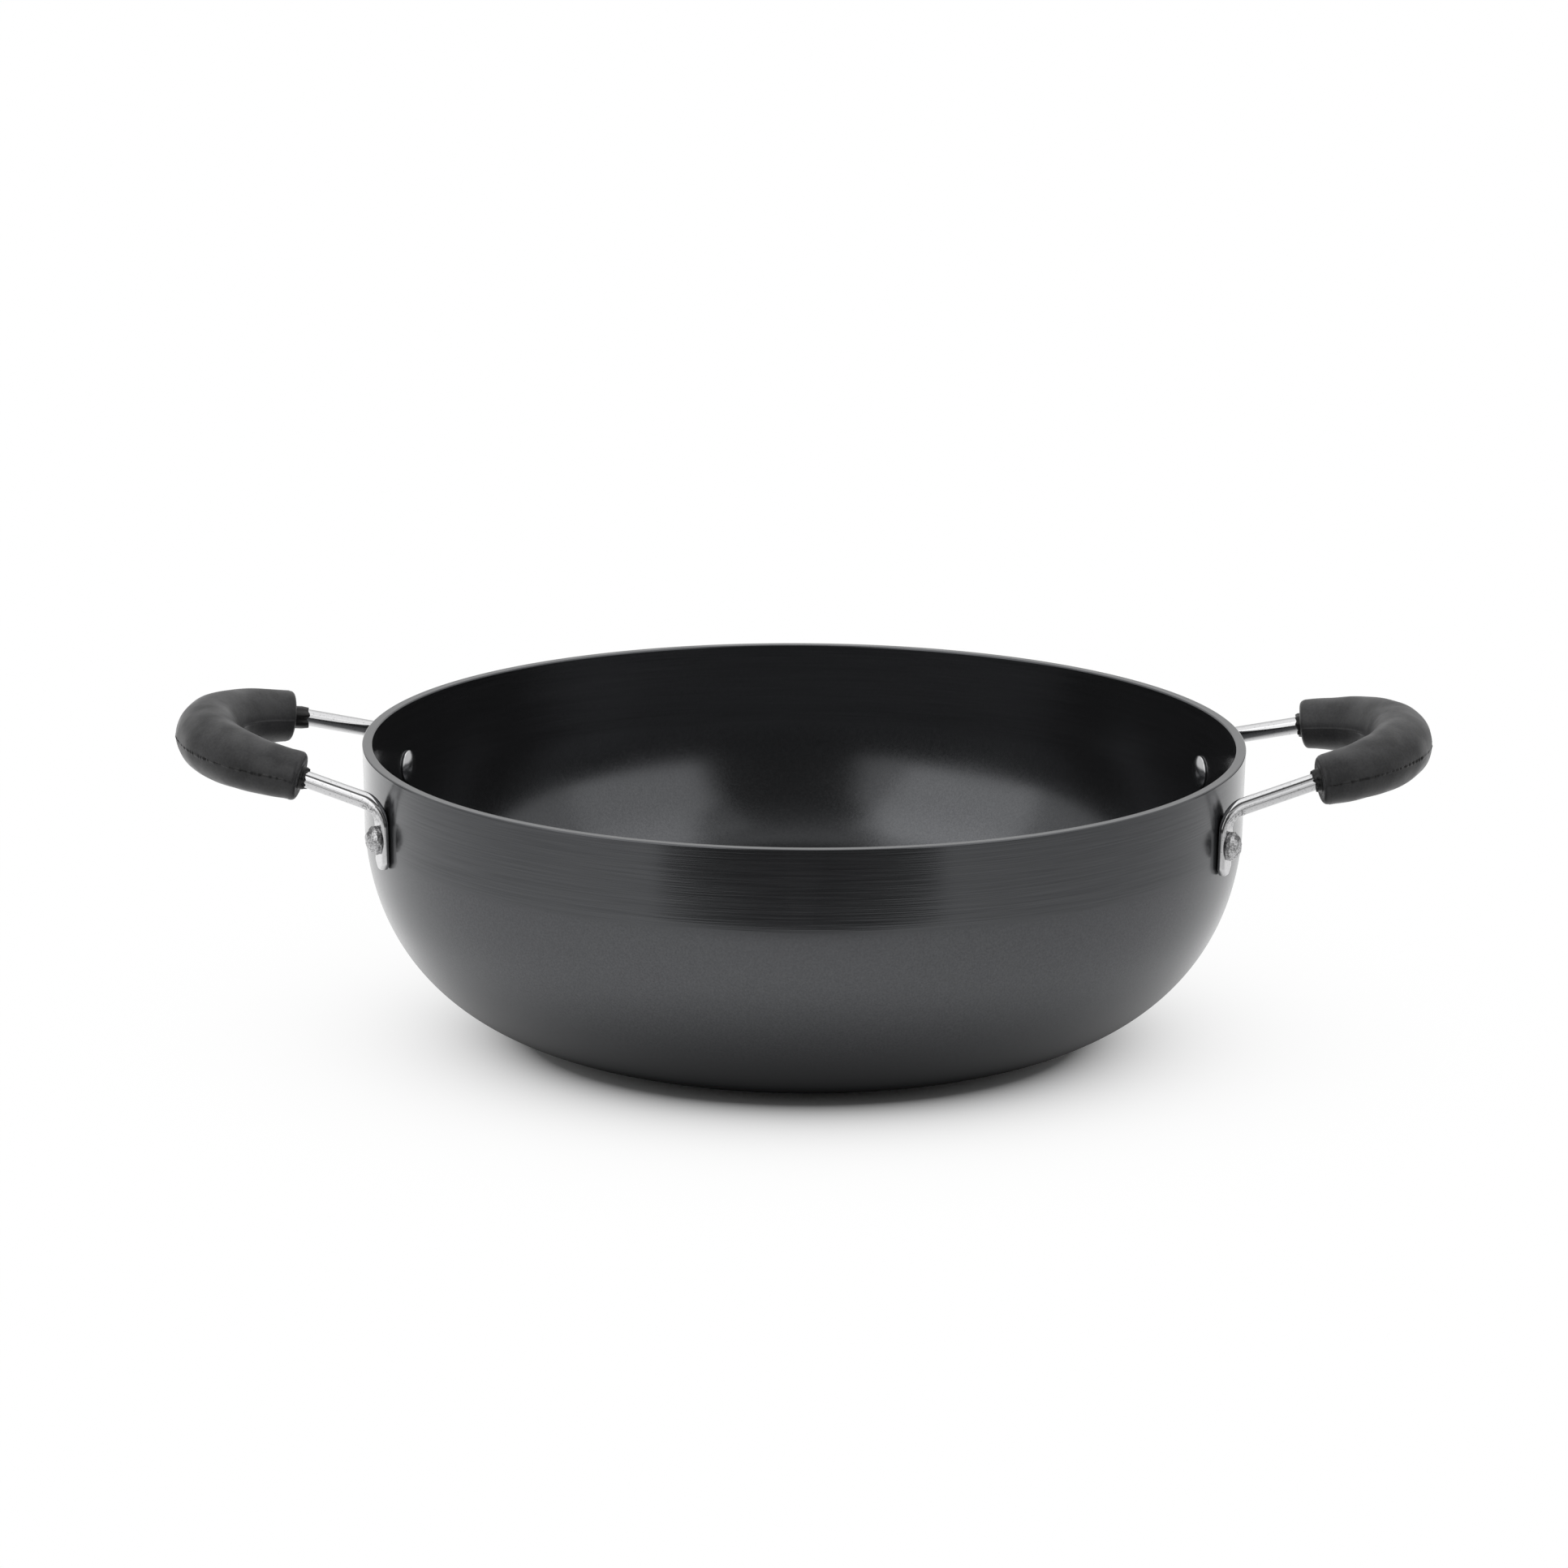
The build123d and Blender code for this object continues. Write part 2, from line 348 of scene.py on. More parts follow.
@dataclass(frozen=True)
class RivetAluminium:
    """Soft aluminium rivet: the outer head is hammered and granular, the inner one factory bright."""

    metal: str = "c6c6c7"
    stained: str = "6e6e6f"
    stain_limits: tuple[float, float] = (0.58, 0.4)  # falling, as the stain lies in the dents
    stain_strength: float = 0.8
    bright_roughness: float = 0.2
    struck_roughness: float = 0.36
    dent_mm: float = 0.5  # coarser than the real grain, which would not show
    dent_relief_mm: float = 0.06

    def material(self) -> bpy.types.Material:
        """Builds the material."""
        material, add = new_material("upset_aluminium")
        place = add("ShaderNodeTexCoord").outputs["Object"]
        struck = add("ShaderNodeAttribute", attribute_name=Detail.WORKED.value).outputs["Fac"]
        dents = add("ShaderNodeTexNoise", noise(place, self.dent_mm, 3.0))
        hollow = add("ShaderNodeMapRange", span(dents, self.stain_limits) | {"To Max": self.stain_strength})
        stain = add("ShaderNodeMath", {0: hollow, 1: struck}, operation="MULTIPLY")
        colour = add("ShaderNodeMix", shades(stain, self.metal, self.stained), **COLOUR)
        dull = {"Value": struck, "To Min": self.bright_roughness, "To Max": self.struck_roughness}
        rough = add("ShaderNodeMapRange", dull)
        rugged = add("ShaderNodeMath", {0: dents, 1: struck}, operation="MULTIPLY")
        relief = add("ShaderNodeMath", {0: rugged, 1: self.dent_relief_mm * METRES}, operation="MULTIPLY")
        close_material(add, relief, {"Base Color": colour, "Metallic": 1.0, "Roughness": rough})
        return material


def unit(vectors: np.ndarray) -> np.ndarray:
    """Each vector divided by its length."""
    return vectors / np.linalg.norm(vectors, axis=-1, keepdims=True)


def smooth_share(share: np.ndarray) -> np.ndarray:
    """Three times the square less two times the cube: from 0 to 1 with level ends."""
    held = np.clip(share, 0, 1)
    return held * held * (3 - 2 * held)


def ripples(points: np.ndarray, size: float, seed: int, waves: int = 24) -> np.ndarray:
    """A smooth random field: the mean of plane sine waves in seeded directions, scaled to about 1.

    Args:
        points: Places, with x, y and z on the last axis, in millimetres.
        size: The field's feature size in millimetres, half of the mean wave.
        seed: Which field.
        waves: How many waves are added.

    Returns:
        The field at each point, mostly between -1 and 1.
    """
    draw = np.random.default_rng(seed)
    headings = unit(draw.normal(size=(waves, 3)))
    wave_numbers = math.pi / size * draw.uniform(0.6, 1.5, waves)
    phases = draw.uniform(0, 2 * math.pi, waves)
    turns = points @ (headings * wave_numbers[:, None]).T + phases
    return np.sin(turns).sum(-1) / math.sqrt(waves)


def grid_piece(
    name: str,
    points: np.ndarray,
    finish: bpy.types.Material,
    attributes: dict[Detail, np.ndarray] | None = None,
    loops_round: bool = False,
) -> bpy.types.Object:
    """Makes a closed, smooth piece from a grid of points that wraps round in its second direction.

    Face (i, j) joins point (i, j) to its neighbours in both directions, and the last column joins the
    first. A row whose points lie together closes to a pole.

    Args:
        name: The piece's name.
        points: Rows, columns, and x, y, z in millimetres.
        finish: The material.
        attributes: A value, or three, for each point.
        loops_round: Whether the last row joins the first as well.

    Returns:
        The piece, at the origin, with its place in its mesh.
    """
    rows, columns = points.shape[:2]
    index = np.arange(rows * columns).reshape(rows, columns)
    below = index if loops_round else index[:-1]
    above = np.roll(index, -1, axis=0) if loops_round else index[1:]
    quads = np.stack([below, np.roll(below, -1, 1), np.roll(above, -1, 1), above], -1).reshape(-1, 4)
    mesh = bpy.data.meshes.new(name)
    mesh.from_pydata((points.reshape(-1, 3) * METRES).tolist(), [], quads.tolist())
    for detail, values in (attributes or {}).items():
        kind, label = ("FLOAT_VECTOR", "vector") if values.ndim == 3 else ("FLOAT", "value")
        layer = mesh.attributes.new(detail.value, kind, "POINT")
        layer.data.foreach_set(label, values.astype(np.float32).ravel())
    shell = bmesh.new()
    shell.from_mesh(mesh)
    bmesh.ops.remove_doubles(shell, verts=shell.verts, dist=MERGE_DISTANCE)
    bmesh.ops.recalc_face_normals(shell, faces=shell.faces)
    shell.to_mesh(mesh)
    shell.free()
    mesh.polygons.foreach_set("use_smooth", np.ones(len(mesh.polygons), bool))
    mesh.materials.append(finish)
    piece = bpy.data.objects.new(name, mesh)
    bpy.context.scene.collection.objects.link(piece)
    return piece


def arc_points(centre: Sequence[float], radius: float, first: float, last: float, count: int) -> np.ndarray:
    """Points on an arc of a profile: centre plus radius times cosine and sine of evenly spaced angles."""
    angles = np.linspace(first, last, count)
    return np.stack([centre[0] + radius * np.cos(angles), centre[1] + radius * np.sin(angles)], -1)


def eased_points(start: np.ndarray, end: np.ndarray, count: int) -> np.ndarray:
    """Points between two others, closer together at both, so that the arcs' shading ends with the arcs."""
    return start + smooth_share(np.linspace(0, 1, count))[1:-1, None] * (end - start)


def turned(points: np.ndarray, degrees: float) -> np.ndarray:
    """Points or directions turned about Z."""
    angle = math.radians(degrees)
    cosine, sine = math.cos(angle), math.sin(angle)
    turn = np.array([[cosine, sine, 0], [-sine, cosine, 0], [0, 0, 1]])
    return points @ turn


@dataclass
class Bowl:
    """The spun bowl: its sizes in millimetres, with the rim and the height taken from the frame.

    Its rivet holes are left out, because the rivets' heads cover them.
    """

    finish: bpy.types.Material
    wall: float = 3.0
    base_radius: float = 56.0
    band_height: float = 22.0
    band_flare: float = 0.6
    hollow_depth: float = 0.1  # the spinner's roller leaves the band's outside a little hollow
    hollow_height: float = 24.5
    edge_radius: float = 0.45
    heel_reach_share: float = 0.56
    belly_reach_share: float = 0.64
    segments: int = 384
    curve_points: int = 72
    edge_points: int = 9
    cut_points: int = 8
    band_points: int = 24
    base_points: int = 14
    rim_radius: float = field(init=False)
    height: float = field(init=False)

    def __post_init__(self) -> None:
        """Reads the rim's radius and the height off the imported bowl."""
        low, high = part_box("bowl")
        self.height = high.z / METRES
        self.rim_radius = (high.y - low.y) / 2 / METRES + self.fillet_draw_in()

    def fillet_draw_in(self) -> float:
        """How far the rim's rounded edge lies inside the sharp rim that the sizes name."""
        lean = self.lean()
        return self.edge_radius * (math.tan(lean) + 1 / math.cos(lean) - 1)

    def lean(self) -> float:
        """The band's angle from upright, in radians."""
        return math.atan2(self.band_flare, self.band_height)

    def wall_radius(self, height: float) -> float:
        """The band's outer radius at a height."""
        return self.rim_radius - self.band_flare * (self.height - height) / self.band_height

    def belly(self) -> tuple[np.ndarray, np.ndarray]:
        """The curve between base and band, a cubic with its ends in line with both.

        Returns:
            Its points, and the inward unit normal at each.
        """
        foot = np.array([self.wall_radius(self.height - self.band_height), self.height - self.band_height])
        heel = np.array([self.base_radius, 0.0])
        reach = self.belly_reach_share * foot[1]
        leans_on = [
            heel,
            heel + [self.heel_reach_share * (foot[0] - heel[0]), 0],
            foot - [reach * math.tan(self.lean()), reach],
            foot,
        ]
        share = np.linspace(0, 1, self.curve_points)[:, None]
        rest = 1 - share
        weights = (rest**3, 3 * rest**2 * share, 3 * rest * share**2, share**3)
        points = sum(weight * point for weight, point in zip(weights, leans_on))
        slope_weights = (rest**2, 2 * rest * share, share**2)
        steps = np.diff(np.array(leans_on), axis=0)
        heading = unit(sum(weight * step for weight, step in zip(slope_weights, steps)))
        return points, np.stack([-heading[:, 1], heading[:, 0]], -1)

    def rim_edge(self) -> np.ndarray:
        """The rounded rim: a quarter arc outside, the flat cut edge and a quarter arc inside."""
        lean, radius = self.lean(), self.edge_radius
        level = self.height - radius
        outside = self.wall_radius(level) - radius / math.cos(lean)
        inside = self.wall_radius(level) - (self.wall - radius) / math.cos(lean)
        outer = arc_points((outside, level), radius, -lean, math.pi / 2, self.edge_points)
        inner = arc_points((inside, level), radius, math.pi / 2, math.pi - lean, self.edge_points)
        return np.concatenate([outer, eased_points(outer[-1], inner[0], self.cut_points), inner])

    def profile(self) -> np.ndarray:
        """The whole section, from the axis under the base, up the outside and down the inside to the axis.

        The band's hollow is a parabola from the rim's edge to just below the band's foot.
        """
        outer, inward = self.belly()
        inner = (outer + self.wall * inward)[::-1]
        rim = self.rim_edge()
        out = np.linspace(0, self.base_radius, self.base_points)
        base = np.stack([out, 0 * out], -1)[:-1]
        floor = np.stack([out, 0 * out + self.wall], -1)[-2::-1]
        outer_band = eased_points(outer[-1], rim[0], self.band_points)
        for part in (outer, outer_band):
            share = np.clip((rim[0, 1] - part[:, 1]) / self.hollow_height, 0, 1)
            part[:, 0] -= 4 * self.hollow_depth * share * (1 - share)
        inner_band = eased_points(rim[-1], inner[0], self.band_points)
        return np.concatenate([base, outer, outer_band, rim, inner_band, inner, floor])

    def build(self) -> list[bpy.types.Object]:
        """Turns the section about Z: x and y are the radius times cosine and sine, z is the height."""
        section = self.profile()
        angle = np.linspace(0, 2 * math.pi, self.segments, endpoint=False)
        radius, height = section[:, :1], section[:, 1:]
        level = np.broadcast_to(height, (len(section), self.segments))
        points = np.stack([radius * np.cos(angle), radius * np.sin(angle), level], -1)
        # The section has as many points inside as outside, so its second half is the inside
        inside = np.broadcast_to(np.arange(len(section))[:, None] * 2 >= len(section), level.shape)
        foot, edge = self.height - self.hollow_height, self.height - self.edge_radius
        # the band's outside below the rounded rim, which the material darkens as painted shade
        brushed = (level > foot) & (level < edge) & ~inside & ~np.isclose(level, edge)
        marks = {Detail.INSIDE: inside, Detail.BRUSHED: brushed}
        shell = grid_piece("spun_bowl", points, self.finish, marks)
        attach(shell, BODY)
        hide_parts("bowl")
        return [shell]


@dataclass
class Seat:
    """The place of the right handle's back rivet on the bowl's outer wall, and the directions there."""

    bowl: Bowl
    spacing: float = 90.5
    drop: float = 19.0
    origin: np.ndarray = field(init=False)
    level: np.ndarray = field(init=False)
    upward: np.ndarray = field(init=False)
    outward: np.ndarray = field(init=False)

    def __post_init__(self) -> None:
        """Works out the seat's point and its three unit directions, leaned with the band."""
        radius = self.bowl.wall_radius(self.bowl.height - self.drop)
        azimuth = math.asin(self.spacing / 2 / radius)
        lean = self.bowl.lean()
        plan = np.array([math.cos(azimuth), math.sin(azimuth), 0.0])
        self.origin = plan * radius + UP * (self.bowl.height - self.drop)
        self.level = np.array([-plan[1], plan[0], 0.0])
        self.outward = plan * math.cos(lean) - UP * math.sin(lean)
        self.upward = np.cross(self.outward, self.level)

    def place(self, level: float, upward: float, outward: float) -> np.ndarray:
        """A point given by its three distances from the seat."""
        return self.origin + level * self.level + upward * self.upward + outward * self.outward


@dataclass
class Route:
    """A line of straight runs joined by tangent arcs, measured by its length."""

    corners: Sequence[np.ndarray]
    radii: Sequence[float]
    spacing: float = 0.2
    points: np.ndarray = field(init=False)
    headings: np.ndarray = field(init=False)
    lengths: np.ndarray = field(init=False)
    leg_ends: list[float] = field(init=False)

    def __post_init__(self) -> None:
        """Lays points along each run and each arc.

        An arc's point is its centre plus the start's arm turned by the angle so far: cosine times the arm
        plus sine times the heading, both scaled by the radius.
        """
        start = self.corners[0]
        points, headings, self.leg_ends = [], [], []
        travelled = 0.0
        corners = self.corners
        for before, corner, after, radius in zip(corners, corners[1:], corners[2:], self.radii):
            arrival, departure = unit(corner - before), unit(after - corner)
            turn = math.acos(float(arrival @ departure))
            setback = radius * math.tan(turn / 2)
            arc_start = corner - arrival * setback
            side = unit(departure - arrival * (arrival @ departure))
            travelled = self.lay_run(points, headings, start, arc_start, travelled)
            angles = np.linspace(0, turn, max(3, int(radius * turn / self.spacing)))[:-1, None]
            points.append(arc_start + radius * (np.sin(angles) * arrival + (1 - np.cos(angles)) * side))
            headings.append(np.cos(angles) * arrival + np.sin(angles) * side)
            travelled += radius * turn
            self.leg_ends.append(travelled)
            start = corner + departure * setback
        self.lay_run(points, headings, start, self.corners[-1], travelled)
        points.append(self.corners[-1][None])
        headings.append(headings[-1][-1:])
        self.points, self.headings = np.concatenate(points), np.concatenate(headings)
        steps = np.linalg.norm(np.diff(self.points, axis=0), axis=1)
        self.lengths = np.concatenate([[0], np.cumsum(steps)])

    def lay_run(
        self, points: list, headings: list, start: np.ndarray, end: np.ndarray, travelled: float
    ) -> float:
        """Adds one straight run, without its last point.

        Args:
            points: The list of point arrays so far.
            headings: The list of heading arrays so far.
            start: The run's first point.
            end: Its last point.
            travelled: The route's length up to the start.

        Returns:
            The route's length up to the end.
        """
        length = float(np.linalg.norm(end - start))
        shares = np.linspace(0, 1, max(2, int(length / self.spacing)))[:-1, None]
        points.append(start + shares * (end - start))
        headings.append(np.broadcast_to(unit(end - start), points[-1].shape))
        self.leg_ends.append(travelled + length)
        return travelled + length

    def mirrored_on(self) -> "Route":
        """The route followed by its mirror image in the plane Y = 0, where it ends square to that plane."""
        flip = np.array([1, -1, 1])
        whole = object.__new__(Route)
        whole.points = np.concatenate([self.points, self.points[-2::-1] * flip])
        whole.headings = np.concatenate([self.headings, -self.headings[-2::-1] * flip])
        whole.lengths = np.concatenate([self.lengths, 2 * self.lengths[-1] - self.lengths[-2::-1]])
        whole.leg_ends = self.leg_ends
        return whole

    def at(self, length: np.ndarray) -> tuple[np.ndarray, np.ndarray]:
        """The point and the unit heading at any lengths along the route."""
        place = [np.interp(length, self.lengths, self.points[:, axis]) for axis in range(3)]
        heading = [np.interp(length, self.lengths, self.headings[:, axis]) for axis in range(3)]
        return np.stack(place, -1), unit(np.stack(heading, -1))


@dataclass
class HandleRod:
    """One bent rod: round along the bow and the arms, and swaged flat into a tab at each end.

    The tabs' holes are left out, because the rivets' heads cover them.
    """

    seat: Seat
    finish: bpy.types.Material
    diameter: float = 5.0
    tab_width: float = 8.2
    tab_thickness: float = 2.3
    tab_tail: float = 8.8
    tab_corner_cut: float = 2.2
    tab_edge_round: float = 0.35
    corner_rise: float = 10.0
    corner_radius: float = 7.0
    climb_angle: float = 14.0
    lean_in_angle: float = 20.6
    knee_reach: float = 18.5
    knee_radius: float = 15.0
    bow_reach: float = 45.4
    bow_lift: float = 1.5
    bow_round_share: float = 0.96
    mouth_offset: float = 1.6
    around: int = 72
    end_stations: int = 6
    worked_spacing: float = 0.3
    arm_stations: int = 130
    press_mark_start: float = 13.2
    press_mark_run_in: float = 1.5
    press_mark_run_out: float = 3.0
    press_mark_overlap: float = 1.0  # how far past the bend it ends
    press_mark_wrap: float = 1.6  # how soon it is full on the way round to the outer side
    press_mark_size: float = 0.9
    press_mark_relief: float = 0.03
    half: Route = field(init=False)
    whole: Route = field(init=False)
    mouth: float = field(init=False)
    mouth_x: float = field(init=False)
    bow_x: float = field(init=False)

    def __post_init__(self) -> None:
        """Lays the rod's centre line, from the tab's end at the back to the middle of the bow."""
        rim, top = self.seat.bowl.rim_radius, self.seat.bowl.height
        slope, climb = math.tan(math.radians(self.lean_in_angle)), math.radians(self.climb_angle)
        tab_end = self.seat.place(0, -self.tab_tail, self.tab_thickness / 2)
        corner = self.seat.place(0, self.corner_rise, self.tab_thickness / 2)
        arm_run = rim + self.knee_reach - corner[0]
        rise = arm_run / math.cos(math.radians(self.lean_in_angle)) * math.tan(climb)
        knee = corner + [arm_run, -arm_run * slope, rise]
        bow_run = self.bow_reach - self.knee_reach
        bow = np.array([rim + self.bow_reach, knee[1] - bow_run * slope, top + self.bow_lift])
        outer_arm = unit(bow - knee)
        room = min(bow[1], float(np.linalg.norm(bow - knee)) - self.mouth_offset)
        turn = math.acos(-outer_arm[1])
        bow_radius = self.bow_round_share * room / math.tan(turn / 2)
        middle = bow * [1, 0, 1]
        bend_radii = (self.corner_radius, self.knee_radius, bow_radius)
        self.half = Route((tab_end, corner, knee, bow, middle), bend_radii)
        self.whole = self.half.mirrored_on()
        knee_length = float(np.interp(knee[0], self.half.points[:, 0], self.half.lengths))
        self.mouth = knee_length + self.mouth_offset
        self.mouth_x = knee[0] + outer_arm[0] * self.mouth_offset
        self.bow_x = bow[0]

    def stations(self) -> np.ndarray:
        """Lengths along half the rod, closer together over the tab's rounded end and the bend."""
        end = self.tab_edge_round * (1 - np.cos(np.linspace(0, math.pi / 2, self.end_stations)))
        bend = self.half.leg_ends[1]
        worked = np.arange(self.tab_edge_round, bend, self.worked_spacing)[1:]
        arms = np.linspace(bend, self.half.lengths[-1], self.arm_stations)
        return np.concatenate([end, worked, arms])

    def section_sizes(self, length: np.ndarray) -> tuple[np.ndarray, np.ndarray]:
        """The section's width and thickness along the rod.

        Args:
            length: Distances from the tab's end.

        Returns:
            Both sizes, between the tab's and the rod's, by a smooth share along the bend. The tab's corners
            are cut at 45 degrees, and its end is rounded by a quarter arc.
        """
        tab_top, bend_end = self.half.leg_ends[:2]
        roundness = smooth_share((length - tab_top) / (bend_end - tab_top))
        width = self.tab_width + roundness * (self.diameter - self.tab_width)
        thickness = self.tab_thickness + roundness * (self.diameter - self.tab_thickness)
        clipped = np.clip(self.tab_corner_cut - length, 0, None)
        into_round = np.clip(self.tab_edge_round - length, 0, self.tab_edge_round)
        inset = self.tab_edge_round - np.sqrt(self.tab_edge_round**2 - into_round**2)
        return width - 2 * (clipped + inset), thickness - 2 * inset

    def sides(self, headings: np.ndarray, on_bend: np.ndarray) -> np.ndarray:
        """The section's width direction at each station.

        Over the tab and the bend it is the wall's level direction made square to the heading. From there
        on it is carried by the shortest turn from the arm's heading to the heading there.
        """
        flat = unit(self.seat.level - (headings @ self.seat.level)[:, None] * headings)
        first_heading, first_side = headings[~on_bend][0], flat[~on_bend][0]
        shares = (headings @ first_side) / (1 + headings @ first_heading)
        carried = first_side - shares[:, None] * (first_heading + headings)
        return np.where(on_bend[:, None], flat, carried)

    def build(self, side: Side, seed: int) -> bpy.types.Object:
        """Carries the section along the route and joins the half to its mirror image.

        A point is the route's point plus the section's radius times the cosine of the angle along the
        side, and times its sine across it. The section is two half circles joined by flats, so its radius
        is the half thickness over the sine along the flats, and reaches the half circles elsewhere.

        Args:
            side: Which handle.
            seed: Which scuffs.

        Returns:
            The rod.
        """
        length = self.stations()
        place, heading = self.half.at(length)
        width, thickness = self.section_sizes(length)
        on_bend = length < self.half.leg_ends[1]
        across = self.sides(heading, on_bend)
        normal = np.cross(heading, across)
        angle = np.linspace(0, 2 * math.pi, self.around, endpoint=False)
        radius = (thickness / 2)[:, None]
        reach = ((width - thickness) / 2)[:, None]
        cosine, sine = np.cos(angle), np.sin(angle)
        on_flat = radius * np.abs(cosine) <= reach * np.abs(sine)
        flat_radius = radius / np.maximum(np.abs(sine), LEAST_SINE)
        round_radius = reach * np.abs(cosine) + np.sqrt(np.clip(radius**2 - (reach * sine) ** 2, 0, None))
        polar = np.where(on_flat, flat_radius, round_radius)
        arm = cosine[None, :, None] * across[:, None] + sine[None, :, None] * normal[:, None]
        rising = smooth_share((length - self.press_mark_start) / self.press_mark_run_in)
        mark_end = self.half.leg_ends[1] + self.press_mark_overlap
        falling = smooth_share((mark_end - length) / self.press_mark_run_out)
        worked = (rising * falling)[:, None] * smooth_share(-self.press_mark_wrap * sine)[None]
        pattern = ripples(place[:, None] + polar[..., None] * arm, self.press_mark_size, seed)
        dips = self.press_mark_relief * pattern * worked
        points = place[:, None] + (polar + dips)[..., None] * arm
        along = np.broadcast_to(length[:, None], polar.shape)
        straight = np.stack([along, polar * cosine, polar * sine], -1)
        cap = np.broadcast_to(place[:1, None], (1, self.around, 3))
        half = np.concatenate([cap, points])
        straight = np.concatenate([straight[:1] * [1, 0, 0], straight])
        worn = np.concatenate([worked[:1], worked])
        grid = np.concatenate([half, half[-2::-1] * [1, -1, 1]])
        unbent = np.concatenate([straight, straight[-2::-1] * [-1, 1, 1]])
        worn = np.concatenate([worn, worn[-2::-1]])
        name = side.name.lower()
        rod = grid_piece(
            f"bent_rod_{name}",
            turned(grid, side.value),
            self.finish,
            {Detail.UNBENT: unbent, Detail.WORKED: worn},
        )
        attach(rod, BODY)
        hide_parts(f"handle_rod_{name}")
        return rod


